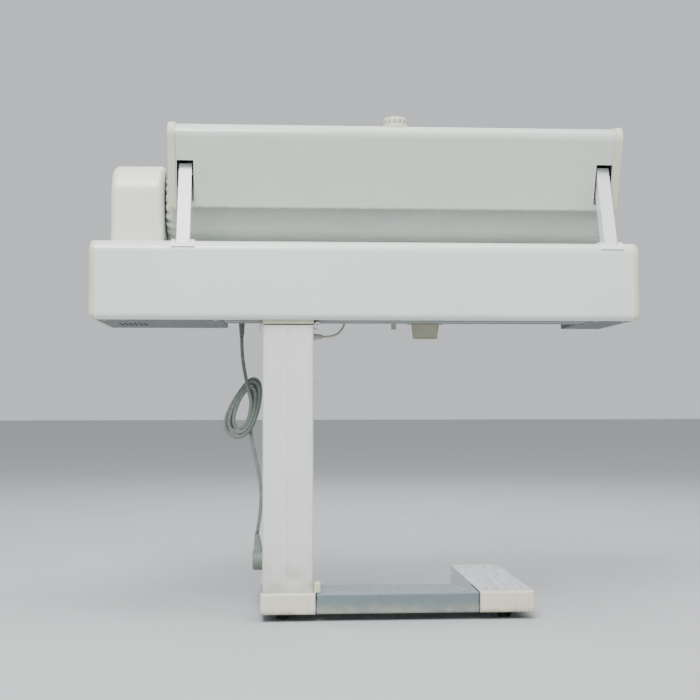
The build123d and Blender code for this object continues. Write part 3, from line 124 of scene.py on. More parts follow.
# ---- materials -----------------------------------------------------------------------------------
class Finish:
    """A material under construction: a Principled shader with colour, roughness and bump fed by textures."""

    def __init__(self, name, colour, roughness, metallic=0.0, coat=0.0, sheen=0.0, specular=0.5):
        self.material = bpy.data.materials.new(name)
        self.material.use_nodes = True
        self.nodes = self.material.node_tree.nodes
        self.links = self.material.node_tree.links
        self.nodes.clear()
        output = self.nodes.new("ShaderNodeOutputMaterial")
        self.shader = self.nodes.new("ShaderNodeBsdfPrincipled")
        self.links.new(self.shader.outputs["BSDF"], output.inputs["Surface"])
        self.shader.inputs["Base Color"].default_value = (*colour, 1)
        self.shader.inputs["Roughness"].default_value = roughness
        self.shader.inputs["Metallic"].default_value = metallic
        self.shader.inputs["Coat Weight"].default_value = coat
        self.shader.inputs["Coat Roughness"].default_value = 0.08
        self.shader.inputs["Sheen Weight"].default_value = sheen
        self.shader.inputs["Specular IOR Level"].default_value = specular
        self.colour = tuple(colour)
        self.colour_out = None
        self.height_out = None
        place = self.nodes.new("ShaderNodeTexCoord")
        self.object_place = place.outputs["Object"]
        self.uv_place = place.outputs["UV"]

    def noise(self, scale, detail=3.0, stretch=(1, 1, 1), place=None, rough=0.5):
        """A noise's factor, in patches per metre, stretched along an axis by a smaller number there."""
        mapping = self.nodes.new("ShaderNodeMapping")
        mapping.inputs["Scale"].default_value = stretch
        self.links.new(place or self.object_place, mapping.inputs["Vector"])
        texture = self.nodes.new("ShaderNodeTexNoise")
        texture.inputs["Scale"].default_value = scale
        texture.inputs["Detail"].default_value = detail
        texture.inputs["Roughness"].default_value = rough
        self.links.new(mapping.outputs["Vector"], texture.inputs["Vector"])
        return texture.outputs["Fac"]

    def wave(self, scale, axis, distortion=0.0, place=None):
        """Bands along an axis."""
        texture = self.nodes.new("ShaderNodeTexWave")
        texture.bands_direction = axis
        texture.inputs["Scale"].default_value = scale
        texture.inputs["Distortion"].default_value = distortion
        self.links.new(place or self.object_place, texture.inputs["Vector"])
        return texture.outputs["Fac"]

    def math(self, operation, a, b=0.0):
        """One maths node on sockets or numbers."""
        node = self.nodes.new("ShaderNodeMath")
        node.operation = operation
        for slot, value in zip(node.inputs, (a, b)):
            if isinstance(value, (int, float)):
                slot.default_value = value
            else:
                self.links.new(value, slot)
        return node.outputs["Value"]

    def between(self, value, low, high, to_low=0.0, to_high=1.0):
        """Value mapped from one range to another, and clamped."""
        node = self.nodes.new("ShaderNodeMapRange")
        node.interpolation_type = "SMOOTHSTEP"
        for key, number in (("From Min", low), ("From Max", high), ("To Min", to_low), ("To Max", to_high)):
            node.inputs[key].default_value = number
        self.links.new(value, node.inputs["Value"])
        return node.outputs["Result"]

    def along(self, axis):
        """The coordinate along X, Y or Z, in metres."""
        split = self.nodes.new("ShaderNodeSeparateXYZ")
        self.links.new(self.object_place, split.inputs["Vector"])
        return split.outputs[axis]

    def stain(self, factor, colour):
        """Mixes another colour in where the factor says."""
        mix = self.nodes.new("ShaderNodeMix")
        mix.data_type = "RGBA"
        if self.colour_out is None:
            mix.inputs["A"].default_value = (*self.colour, 1)
        else:
            self.links.new(self.colour_out, mix.inputs["A"])
        mix.inputs["B"].default_value = (*colour, 1)
        self.links.new(factor, mix.inputs["Factor"])
        self.colour_out = mix.outputs["Result"]
        self.links.new(self.colour_out, self.shader.inputs["Base Color"])
        return self

    def shade(self, factor, share):
        """Darkens or lightens the base colour by a share where the factor says."""
        return self.stain(factor, tuple(min(1.0, c * share) for c in self.colour))

    def vary_roughness(self, factor, low, high):
        """Roughness between two values."""
        self.links.new(self.between(factor, 0.3, 0.7, low, high), self.shader.inputs["Roughness"])
        return self

    def bump(self, height, depth, strength=1.0):
        """Relief of so many metres, added to what is there."""
        node = self.nodes.new("ShaderNodeBump")
        node.inputs["Distance"].default_value = depth
        node.inputs["Strength"].default_value = strength
        self.links.new(height, node.inputs["Height"])
        if self.height_out is not None:
            self.links.new(self.height_out, node.inputs["Normal"])
        self.height_out = node.outputs["Normal"]
        self.links.new(self.height_out, self.shader.inputs["Normal"])
        return self


def enamel(name, colour, grime_from=None, grime_to=None, roughness=0.22):
    """Sprayed enamel: a faint orange peel, cloudy tone, fine scuffs, and grime towards a lower edge."""
    paint = Finish(name, colour, roughness, coat=0.35)
    paint.shade(paint.between(paint.noise(7, 4), 0.35, 0.75), 0.955)
    paint.stain(paint.between(paint.noise(21, 6, (1, 1, 2.5)), 0.60, 0.85, 0, 0.16), (0.66, 0.66, 0.53))
    if grime_from is not None:
        low = paint.between(paint.along("Z"), grime_from, grime_to, 1, 0)
        dirt = paint.math("MULTIPLY", low, paint.between(paint.noise(34, 7), 0.35, 0.7, 0.15, 0.75))
        paint.stain(dirt, (0.42, 0.40, 0.30))
    paint.vary_roughness(paint.noise(60, 5), roughness * 0.8, roughness * 1.5)
    paint.bump(paint.noise(420, 2), 0.00006)
    paint.bump(paint.noise(34, 3), 0.00012)
    return paint.material


def plastic(name, colour, roughness=0.42, grain=1500, aged=(0.70, 0.62, 0.38), grime=None):
    """Moulded plastic: a fine grain, uneven ageing, and grime between two heights."""
    shell = Finish(name, colour, roughness)
    shell.shade(shell.between(shell.noise(11, 4), 0.35, 0.7), 0.93)
    shell.stain(shell.between(shell.noise(5, 5), 0.45, 0.8, 0.05, 0.35), aged)
    if grime:
        low = shell.between(shell.along("Z"), grime[0], grime[1], 1, 0)
        dirt = shell.math("MULTIPLY", low, shell.between(shell.noise(48, 8), 0.3, 0.65, 0.2, 0.95))
        shell.stain(dirt, (0.30, 0.27, 0.19))
        streaks = shell.between(shell.noise(90, 6, (1, 1, 0.15)), 0.58, 0.8, 0, 0.35)
        shell.stain(streaks, (0.45, 0.40, 0.28))
    shell.vary_roughness(shell.noise(90, 4), roughness * 0.8, roughness * 1.3)
    shell.bump(shell.noise(grain, 2), 0.00007)
    return shell.material


def metal(name, colour, roughness, stretch, grain=900, scratches=0.25):
    """Brushed or turned metal: fine lines along the direction that is stretched, with darker scratches."""
    bare = Finish(name, colour, roughness, metallic=1.0)
    lines = bare.noise(grain, 3, stretch)
    bare.shade(bare.between(lines, 0.35, 0.7), 0.86)
    bare.shade(bare.between(bare.noise(16, 6), 0.5, 0.85, 0, scratches), 0.6)
    bare.vary_roughness(bare.noise(grain * 0.4, 4, stretch), roughness * 0.75, roughness * 1.35)
    bare.bump(lines, 0.00005)
    return bare.material


def rubber(name, colour, roughness=0.75):
    """Dull rubber or tough dark plastic, dusty on top."""
    tough = Finish(name, colour, roughness, specular=0.35)
    tough.stain(tough.between(tough.noise(38, 8), 0.45, 0.8, 0, 0.45), (0.22, 0.21, 0.19))
    tough.vary_roughness(tough.noise(120, 4), roughness * 0.85, min(1.0, roughness * 1.2))
    tough.bump(tough.noise(1300, 3), 0.00009)
    return tough.material


def sheath(name, colour):
    """The soft plastic sheath of a lead, handled and a little dirty."""
    skin = Finish(name, colour, 0.45)
    skin.shade(skin.between(skin.noise(55, 5), 0.35, 0.75), 0.82)
    skin.stain(skin.between(skin.noise(130, 7), 0.55, 0.85, 0, 0.4), (0.55, 0.55, 0.46))
    skin.vary_roughness(skin.noise(200, 3), 0.36, 0.58)
    skin.bump(skin.noise(800, 2), 0.00006)
    return skin.material


def cotton(name, colour):
    """Plain-woven cotton: threads both ways on the piece's UV map, slubs, and a warmer tone in patches."""
    weave = Finish(name, colour, 0.9, sheen=0.35, specular=0.2)
    warp = weave.wave(160, "X", 0.6, weave.uv_place)
    weft = weave.wave(160, "Y", 0.6, weave.uv_place)
    threads = weave.math("MULTIPLY", warp, weft)
    weave.shade(weave.between(threads, 0.05, 0.6, 0.55, 0), 0.72)
    weave.stain(weave.between(weave.noise(9, 5), 0.45, 0.8, 0, 0.30), (0.62, 0.58, 0.46))
    weave.shade(weave.between(weave.noise(120, 4, (0.08, 1, 1)), 0.5, 0.8, 0, 0.4), 0.85)
    weave.bump(threads, 0.00022)
    weave.bump(weave.noise(26, 5), 0.0006)
    return weave.material


def heater():
    """Polished aluminium, with the lugs at its back coated black."""
    plate = Finish("heater plate", (0.70, 0.71, 0.72), 0.22, metallic=0.9)
    plate.shade(plate.between(plate.noise(700, 3, (0.03, 1, 1)), 0.35, 0.7), 0.85)
    plate.stain(plate.between(plate.along("Y"), -0.1035, -0.1025, 1, 0), (0.012, 0.012, 0.014))
    plate.vary_roughness(plate.noise(240, 4, (0.05, 1, 1)), 0.18, 0.34)
    plate.bump(plate.noise(900, 2, (0.05, 1, 1)), 0.00004)
    return plate.material


def make_finishes(colours):
    """Every material by name, with the record's slots that it is used for."""
    column_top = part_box("column")[1].z
    return {
        "casing_white": enamel("casing enamel", colours.casing),
        # painted shade: the hood's white enamel is darker than the casing's to stand in for the shade on its
        # downward-facing panel
        "hood_white": enamel("hood enamel with painted shade", colours.hood),
        "arm_white": enamel("arm enamel", (0.84, 0.87, 0.83), roughness=0.18),
        "column_paint": enamel("column powder coat", (0.76, 0.79, 0.75), 0.05, column_top * 0.3, 0.36),
        "tilt_plate_paint": plastic("tilt plate", (0.74, 0.73, 0.58), 0.4),
        "cream_plastic": plastic("cream plastic", colours.cream),
        "aluminium": metal("brushed aluminium", (0.74, 0.77, 0.79), 0.36, (1, 0.03, 1), 900, 0.06),
        "heater_aluminium": heater(),
        "rail_aluminium": metal("extruded aluminium", (0.36, 0.39, 0.38), 0.46, (0.04, 1, 1), 900, 0.1),
        "bar_grey": enamel("foot bar paint", colours.bar, 0.012, 0.04, 0.34),
        "module_grey": plastic("underside plastic", (0.115, 0.145, 0.15), 0.55, 900, (0.14, 0.14, 0.11)),
        "pan_steel": metal("zinc plated steel", (0.36, 0.39, 0.40), 0.5, (1, 1, 1), 160, 0.18),
        "steel": metal("turned steel", (0.58, 0.58, 0.58), 0.3, (0.1, 1, 1)),
        "motor_steel": enamel("motor paint", (0.05, 0.055, 0.06), roughness=0.4),
        "gear_nylon": plastic("nylon", (0.78, 0.77, 0.70), 0.38, 700),
        "guard_grey": plastic("grey plastic", (0.50, 0.52, 0.49), 0.5),
        "cloth": cotton("roller cotton", colours.cloth),
        "caster_black": rubber("caster plastic", (0.012, 0.012, 0.014), 0.5),
        "foot_rubber": rubber("foot rubber", (0.02, 0.02, 0.02)),
        "lead_grey": sheath("grey sheath", colours.lead),
        "pedal_lead": sheath("beige sheath", (0.52, 0.52, 0.42)),
        "foot_cap": plastic("foot cap plastic", (0.78, 0.77, 0.62), 0.36, 1500, (0.72, 0.62, 0.34),
                            (0.010, 0.026)),
        "handle": plastic("handle plastic", (0.50, 0.50, 0.40), 0.45),
        "housing": enamel("housing plastic", (0.80, 0.81, 0.70), roughness=0.3),
        "knob_mark": plastic("dark print", (0.04, 0.04, 0.045), 0.5, 900, (0.1, 0.1, 0.09)),
    }


FINISHES = {}

# CAD nodes whose finish isn't that of the record's slot
OWN_FINISH = {"foot_caps": "foot_cap", "release_handle": "handle", "drive_housing": "housing",
              "slide_rail": "rail_aluminium", "roller_tube": "rail_aluminium",
              "heater_plate": "heater_aluminium", "tilt_catch": "arm_white", "latch_stud": "gear_nylon"}


# ---- mesh helpers --------------------------------------------------------------------------------
def add_object(name, mesh, material=None):
    """A new object of that mesh, at the origin."""
    made = bpy.data.objects.new(name, mesh)
    bpy.context.scene.collection.objects.link(made)
    if material is not None:
        mesh.materials.clear()
        mesh.materials.append(FINISHES[material])
    return made


def mesh_of(name, vertices, faces, smooth=True):
    """A mesh from lists, with its normals made to point outwards."""
    mesh = bpy.data.meshes.new(name)
    mesh.from_pydata(vertices, [], faces)
    work = bmesh.new()
    work.from_mesh(mesh)
    bmesh.ops.remove_doubles(work, verts=work.verts, dist=1e-7)
    bmesh.ops.recalc_face_normals(work, faces=work.faces)
    work.to_mesh(mesh)
    work.free()
    mesh.polygons.foreach_set("use_smooth", [smooth] * len(mesh.polygons))
    return mesh


def ring_faces(rings, sides):
    """Faces from each ring of points to the next."""
    faces = []
    for ring in range(rings - 1):
        for turn in range(sides):
            after = (turn + 1) % sides
            faces.append((ring * sides + turn, ring * sides + after, (ring + 1) * sides + after,
                          (ring + 1) * sides + turn))
    return faces


def end_faces(rings, sides):
    """A face over the first ring and one over the last."""
    return [tuple(range(sides))[::-1], tuple(range((rings - 1) * sides, rings * sides))]


def lathe(name, profile, centre, axis, sides=48, relief=None):
    """A closed solid turned about a line along X, Y or Z. profile is (along, radius) points from one end
    to the other; relief(along, radius, angle) may move a point, giving its new (along, radius)."""
    unit = Vector([1.0 if letter == axis else 0.0 for letter in "XYZ"])
    side = Vector((0, 1, 0)) if axis == "X" else Vector((1, 0, 0))
    other = unit.cross(side)
    vertices = []
    for along, radius in profile:
        for turn in range(sides):
            angle = 2 * math.pi * turn / sides
            outward = side * math.cos(angle) + other * math.sin(angle)
            a, r = relief(along, radius, angle) if relief else (along, radius)
            vertices.append(Vector(centre) + unit * a + outward * r)
    faces = ring_faces(len(profile), sides)
    if profile[0][1] > 0 and profile[0] != profile[-1]:
        faces += end_faces(len(profile), sides)
    return mesh_of(name, vertices, faces)


def smooth_line(points, per_point=8):
    """The points of a NURBS line of order 3 that has the given control points."""
    curve = bpy.data.curves.new("route", "CURVE")
    curve.dimensions = "3D"
    curve.resolution_u = per_point
    spline = curve.splines.new("NURBS")
    spline.points.add(len(points) - 1)
    for point, place in zip(spline.points, points):
        point.co = (*place, 1)
    spline.order_u = 3
    spline.use_endpoint_u = True
    holder = bpy.data.objects.new("route", curve)
    bpy.context.scene.collection.objects.link(holder)
    bpy.context.view_layer.update()
    line = bpy.data.meshes.new_from_object(holder.evaluated_get(bpy.context.evaluated_depsgraph_get()))
    places = [vertex.co.copy() for vertex in line.vertices]
    bpy.data.objects.remove(holder)
    bpy.data.curves.remove(curve)
    bpy.data.meshes.remove(line)
    return places


def tube(name, line, radius, sides=14):
    """A round tube along a line of points, with closed ends and no twist."""
    heading = (line[1] - line[0]).normalized()
    side = heading.orthogonal().normalized()
    vertices = []
    for index, place in enumerate(line):
        ahead = line[min(index + 1, len(line) - 1)] - line[max(index - 1, 0)]
        turned = heading.rotation_difference(ahead.normalized())
        side = (turned @ side).normalized()
        heading = ahead.normalized()
        other = heading.cross(side)
        for turn in range(sides):
            angle = 2 * math.pi * turn / sides
            vertices.append(place + (side * math.cos(angle) + other * math.sin(angle)) * radius)
    return mesh_of(name, vertices, ring_faces(len(line), sides) + end_faces(len(line), sides))


# ---- geometry nodes: one piece repeated in a row or a ring ---------------------------------------
def repeat_tree(name, kind):
    """A tree that repeats an object in a row or round a ring, makes it real and gives it a material."""
    tree = bpy.data.node_groups.new(name, "GeometryNodeTree")
    sockets = [("Piece", "NodeSocketObject"), ("Count", "NodeSocketInt"), ("Place", "NodeSocketVector"),
               ("Step", "NodeSocketVector"), ("Radius", "NodeSocketFloat"), ("Turn", "NodeSocketVector"),
               ("Material", "NodeSocketMaterial")]
    for label, socket in sockets:
        tree.interface.new_socket(name=label, in_out="INPUT", socket_type=socket)
    tree.interface.new_socket(name="Geometry", in_out="OUTPUT", socket_type="NodeSocketGeometry")
    nodes, links = tree.nodes, tree.links
    given = nodes.new("NodeGroupInput").outputs
    piece = nodes.new("GeometryNodeObjectInfo")
    links.new(given["Piece"], piece.inputs["Object"])
    spread = nodes.new("GeometryNodeInstanceOnPoints")
    links.new(piece.outputs["Geometry"], spread.inputs["Instance"])
    if kind == "row":
        line = nodes.new("GeometryNodeMeshLine")
        links.new(given["Count"], line.inputs["Count"])
        links.new(given["Place"], line.inputs["Start Location"])
        links.new(given["Step"], line.inputs["Offset"])
        links.new(line.outputs["Mesh"], spread.inputs["Points"])
        turn = nodes.new("FunctionNodeEulerToRotation")
        links.new(given["Turn"], turn.inputs["Euler"])
        links.new(turn.outputs["Rotation"], spread.inputs["Rotation"])
        result = spread.outputs["Instances"]
    else:
        ring = nodes.new("GeometryNodeMeshCircle")
        links.new(given["Count"], ring.inputs["Vertices"])
        links.new(given["Radius"], ring.inputs["Radius"])
        links.new(ring.outputs["Mesh"], spread.inputs["Points"])
        place = nodes.new("GeometryNodeInputPosition")
        face = nodes.new("FunctionNodeAlignRotationToVector")
        face.axis = "X"
        face.pivot_axis = "Z"
        links.new(place.outputs["Position"], face.inputs["Vector"])
        links.new(face.outputs["Rotation"], spread.inputs["Rotation"])
        move = nodes.new("GeometryNodeTransform")
        links.new(spread.outputs["Instances"], move.inputs["Geometry"])
        links.new(given["Place"], move.inputs["Translation"])
        turn = nodes.new("FunctionNodeEulerToRotation")
        links.new(given["Turn"], turn.inputs["Euler"])
        links.new(turn.outputs["Rotation"], move.inputs["Rotation"])
        result = move.outputs["Geometry"]
    real = nodes.new("GeometryNodeRealizeInstances")
    links.new(result, real.inputs["Geometry"])
    cover = nodes.new("GeometryNodeSetMaterial")
    links.new(real.outputs["Geometry"], cover.inputs["Geometry"])
    links.new(given["Material"], cover.inputs["Material"])
    output = nodes.new("NodeGroupOutput")
    links.new(cover.outputs["Geometry"], output.inputs["Geometry"])
    return tree


def repeated(name, kind, piece, material, count, place, step=(0, 0, 0), radius=0.0, turn=(0, 0, 0)):
    """A plain mesh object of the repeated piece. The pattern piece itself is taken away by the caller."""
    tree = bpy.data.node_groups.get(f"repeat {kind}") or repeat_tree(f"repeat {kind}", kind)
    holder = add_object(name, bpy.data.meshes.new(name))
    modifier = holder.modifiers.new("repeat", "NODES")
    modifier.node_group = tree
    values = {"Piece": piece, "Count": count, "Place": Vector(place), "Step": Vector(step), "Radius": radius,
              "Turn": Vector(turn), "Material": FINISHES[material]}
    for item in tree.interface.items_tree:
        if item.item_type == "SOCKET" and item.in_out == "INPUT":
            modifier[item.identifier] = values[item.name]
    holder.update_tag()
    bpy.context.view_layer.update()
    mesh = bpy.data.meshes.new_from_object(holder.evaluated_get(bpy.context.evaluated_depsgraph_get()))
    holder.modifiers.remove(modifier)
    holder.data = mesh
    mesh.name = name
    return holder


def joined(name, parts):
    """Several objects made one."""
    bpy.ops.object.select_all(action="DESELECT")
    for part in parts:
        part.select_set(True)
    bpy.context.view_layer.objects.active = parts[0]
    bpy.ops.object.join()
    parts[0].name = name
    return parts[0]


def discard(*objects):
    """Takes pattern pieces away again."""
    for thing in objects:
        bpy.data.objects.remove(thing)


# ---- operators -----------------------------------------------------------------------------------
class IRONER_OT_stage(bpy.types.Operator):
    """Floor, soft lights and camera"""

    bl_idname = "ironer.stage"
    bl_label = "Stage"

    def execute(self, context):
        reach = 30
        corners = [(-reach, -reach, 0), (reach, -reach, 0), (reach, reach, 0), (-reach, reach, 0)]
        floor_mesh = mesh_of("floor", corners, [(0, 1, 2, 3)], False)
        paper = Finish("floor paper", (0.50, 0.51, 0.52), 0.9, specular=0.2)
        paper.shade(paper.between(paper.noise(3, 3), 0.3, 0.7), 0.97)
        floor = add_object("floor", floor_mesh)
        floor_mesh.materials.append(paper.material)
        for name, place, aim, size, power in (
                ("key", (-0.9, -2.3, 3.1), (0, 0, 0.75), 1.9, 150),
                ("top", (0.1, -0.5, 3.3), (0, 0, 0.7), 2.2, 55),
                ("side", (2.6, -1.6, 1.7), (0, 0, 0.6), 1.6, 26),
                ("back", (0.4, 2.6, 2.6), (0, 0, 0.8), 2.4, 40)):
            light = bpy.data.lights.new(name, "AREA")
            light.shape = "DISK"
            light.size = size
            light.energy = power
            holder = bpy.data.objects.new(name, light)
            holder.location = place
            holder.rotation_euler = (Vector(aim) - Vector(place)).to_track_quat("-Z", "Y").to_euler()
            context.scene.collection.objects.link(holder)
        world = bpy.data.worlds.new("studio")
        world.use_nodes = True
        backdrop = world.node_tree.nodes["Background"].inputs
        backdrop["Color"].default_value = (0.84, 0.87, 0.90, 1)
        backdrop["Strength"].default_value = 0.80
        context.scene.world = world
        camera = bpy.data.cameras.new("camera")
        camera.lens = 59.6
        camera.sensor_width = 36
        holder = bpy.data.objects.new("camera", camera)
        holder.location = (-0.1633, -2.2358, 0.3798)
        look = Vector((0.0636, 0.997, 0.0483)).to_track_quat("-Z", "Y")
        roll = Euler((0, 0, -0.0014)).to_quaternion()
        holder.rotation_euler = (look @ roll).to_euler()
        context.scene.collection.objects.link(holder)
        context.scene.camera = holder
        return {"FINISHED"}


class IRONER_OT_finishes(bpy.types.Operator):
    """Materials, and a finish for every piece of the frame"""

    bl_idname = "ironer.finishes"
    bl_label = "Finishes"

    def execute(self, context):
        FINISHES.update(make_finishes(context.scene.ironer_finishes))
        slots = {entry["node"]: entry["material_slot"] for entry in frame["record"]["subparts"]}
        for node, piece in frame["nodes"].items():
            finish = FINISHES[OWN_FINISH.get(node, slots[node])]
            for slot in piece.material_slots:
                slot.material = finish
        return {"FINISHED"}


# Routes of the leads, in millimetres: the mains lead above its tied coil, where it leaves the coil, and
# below it down to the plug; then the foot switch's lead
LEAD_Y = -25.0
UPPER_ROUTE = [(-228.6, LEAD_Y, 513.0), (-228.6, LEAD_Y, 486.5), (-224.4, LEAD_Y, 452.0),
               (-219.5, LEAD_Y - 7, 429.0), (-216.5, LEAD_Y - 15, 412.0)]
TUCK_ROUTE = [(-211.2, LEAD_Y + 10, 357.0), (-211.8, LEAD_Y + 8.5, 335.0), (-209.3, LEAD_Y + 4.5, 314.0)]
LOWER_ROUTE = [(-203.9, LEAD_Y, 293.5), (-196.0, LEAD_Y, 255.0), (-190.6, LEAD_Y, 218.5),
               (-192.4, LEAD_Y, 178.0), (-198.8, LEAD_Y, 139.0)]
PEDAL_ROUTE = [(-77.0, -75.0, 509.0), (-62.0, -75.0, 509.0), (-49.0, -68.0, 514.0), (-39.5, -59.5, 523.5),
               (-34.0, -53.0, 535.5), (-34.0, -53.0, 549.0)]

# Size of each of the coil's loops in turn, from 0, the smallest, to 1, the largest
LOOP_SIZES = (0.05, 0.44, 0.84, 1.0, 0.62, 0.22)


def mix(a, b, share):
    """A number, or each of a pair, between two ends."""
    if isinstance(a, tuple):
        return tuple(mix(x, y, share) for x, y in zip(a, b))
    return a + (b - a) * share


def coil_route(turns):
    """Control points of the tied coil, in millimetres, clockwise from the upper right.

    Each loop is an egg, wide at the bottom and gathered at the top. The loops grow from the front layer to
    the middle of the coil and shrink again behind it, and at the top they lie one behind the other.
    """
    # centre and radius of the smallest and the largest loop, at the bottom and at the top
    low_small, low_large = ((-228.0, 354.0), 13.0), ((-236.5, 350.0), 31.0)
    top_small, top_large = ((-219.0, 395.0), 9.5), ((-208.0, 420.0), 13.0)
    start, extra = math.radians(66), 0.05  # the angle that the turns start at, and the share of a turn added
    middle_turn, layer_depth, top_pitch = 3.05, 6.9, 6.0
    pinch = 1.5  # how soon a loop goes from its wide end to its narrow one
    bulge = 6.0  # how far the largest loop stands out on its way down
    per_turn = 18
    points = []
    for step in range(round((turns + extra) * per_turn) + 1):
        turn = step / per_turn
        angle = start + 2 * math.pi * turn
        whole = int(turn)
        share = turn - whole
        smooth = share * share * (3 - 2 * share)
        size = mix(LOOP_SIZES[whole % len(LOOP_SIZES)], LOOP_SIZES[(whole + 1) % len(LOOP_SIZES)], smooth)
        past = turn - middle_turn
        layer = layer_depth * max(-1.0, min(1.0, 2.4 * math.sin(past * math.pi / 5.4) * abs(past) / 1.4))
        top = 0.5 + 0.5 * math.tanh(pinch * math.cos(angle)) / math.tanh(pinch)
        low_centre, low_radius = (mix(a, b, size) for a, b in zip(low_small, low_large))
        top_centre, top_radius = (mix(a, b, size) for a, b in zip(top_small, top_large))
        centre, radius = mix(low_centre, top_centre, top), mix(low_radius, top_radius, top)
        radius += bulge * size * max(0.0, math.sin(angle)) ** 2
        lean = math.atan2(top_centre[0] - low_centre[0], top_centre[1] - low_centre[1])
        depth = mix(layer, top_pitch * (turn - turns / 2), top)
        points.append((centre[0] + radius * math.sin(angle + lean), LEAD_Y + depth,
                       centre[1] + radius * math.cos(angle + lean)))
    return points


class IRONER_OT_leads(bpy.types.Operator):
    """The mains lead with its tied coil, and the foot switch's lead"""

    bl_idname = "ironer.leads"
    bl_label = "Leads"

    def execute(self, context):
        sizes = context.scene.ironer_sizes
        route = UPPER_ROUTE + coil_route(sizes.coil_turns) + TUCK_ROUTE + LOWER_ROUTE
        line = smooth_line([Vector(point) * MM for point in route])
        lead = add_object("mains_lead", tube("mains_lead", line, sizes.lead_diameter / 2), "lead_grey")
        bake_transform(lead)
        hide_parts("mains_cord_upper", "mains_cord_coil", "mains_cord_lower")
        thin = smooth_line([Vector(point) * MM for point in PEDAL_ROUTE])
        pedal = add_object("foot_switch_lead", tube("foot_switch_lead", thin, sizes.pedal_diameter / 2, 12),
                           "pedal_lead")
        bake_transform(pedal)
        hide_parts("pedal_cable")
        return {"FINISHED"}


class IRONER_OT_roller_cover(bpy.types.Operator):
    """The roller's padded cotton cover, gathered over both ends, with a stitched hem"""

    bl_idname = "ironer.roller_cover"
    bl_label = "Roller cover"

    def execute(self, context):
        sizes = context.scene.ironer_sizes
        low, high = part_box("roller_cloth")
        axis_y, axis_z = (low.y + high.y) / 2, (low.z + high.z) / 2
        radius = (high.z - low.z) / 2
        core = (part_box("roller_tube")[1].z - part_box("roller_tube")[0].z) / 2
        fold = 0.015  # radius of the rounded edge at each end
        hem = core - 0.020
        lip = 0.006  # between the hem and the flat of the end
        length = high.x - low.x
        profile = [(0.010, core + 0.0004), (0.0085, hem + 0.004), (0.006, hem), (0.002, hem + 0.001),
                   (0.0003, hem + lip)]
        profile += [(0.0, hem + lip + (radius - fold - hem - lip) * part / 6) for part in range(1, 6)]
        for degrees in range(0, 91, 10):
            a = math.radians(degrees)
            profile.append((fold - fold * math.cos(a), radius - fold + fold * math.sin(a)))
        rings = 34
        half = profile + [(fold + (length / 2 - fold) * (part / rings) ** 1.6, radius)
                          for part in range(1, rings + 1)]
        whole = half + [(length - along, r) for along, r in reversed(half[:-1])]
        gather_reach = 0.045  # how far the folds run in from each end
        slack = 0.0003  # how much the cloth stands in and out between them

        def gathered(x, r, angle):
            """Where a point of the smooth cover goes, in folds round both ends and slightly slack between."""
            along = x - low.x
            end = min(along, length - along)
            if r <= core + 0.001 and end > 0.008:
                return x, r
            near = max(0.0, 1 - end / gather_reach) ** 2
            wobble = angle * sizes.gathers + 1.3 * math.sin(3 * angle) + (2.1 if along > length / 2 else 0)
            ridge = abs(math.sin(wobble / 2)) * 2 - 1
            depth = sizes.gather_depth * near * (0.75 + 0.35 * math.sin(5 * angle + 1))
            ripple = math.sin(along * 61 + 2 * math.sin(2 * angle)) * math.sin(2 * angle + along * 9)
            loose = slack * ripple - slack
            inward = depth if along < length / 2 else -depth
            edge = near if r < radius - 0.004 else 0
            return x - inward * ridge * 0.5 * edge, r + depth * (ridge - 1) + loose * (1 - near)

        outline = [(low.x + along, r) for along, r in whole]
        mesh = lathe("roller_cover", outline, (0, axis_y, axis_z), "X", 264, gathered)
        uv_scale = 10  # of the UV map, per metre of cloth
        uv = mesh.uv_layers.new(name="UVMap")
        for loop in mesh.loops:
            place = mesh.vertices[loop.vertex_index].co
            around = math.atan2(place.z - axis_z, place.y - axis_y) * radius
            uv.data[loop.index].uv = (place.x * uv_scale, around * uv_scale)
        cover = add_object("roller_cover", mesh, "cloth")
        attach(cover, "roller")
        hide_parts("roller_cloth")

        thread = [(-0.0022, 0.0001), (-0.0018, 0.00045), (0, 0.0006), (0.0018, 0.00045), (0.0022, 0.0001)]
        stitch = add_object("stitch", lathe("stitch", thread, (0, 0, 0), "Y", 8))
        per_end = 96
        sunk = 0.0010  # how far inside the cover's end the ring of stitches lies
        rows = []
        for end_x in (low.x + sunk, high.x - sunk):
            rows.append(repeated("stitches", "ring", stitch, "cloth", per_end, (end_x, axis_y, axis_z),
                                 radius=hem + 0.009, turn=(0, math.pi / 2, 0)))
        discard(stitch)
        stitches = joined("cover_stitches", rows)
        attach(stitches, "roller")
        return {"FINISHED"}


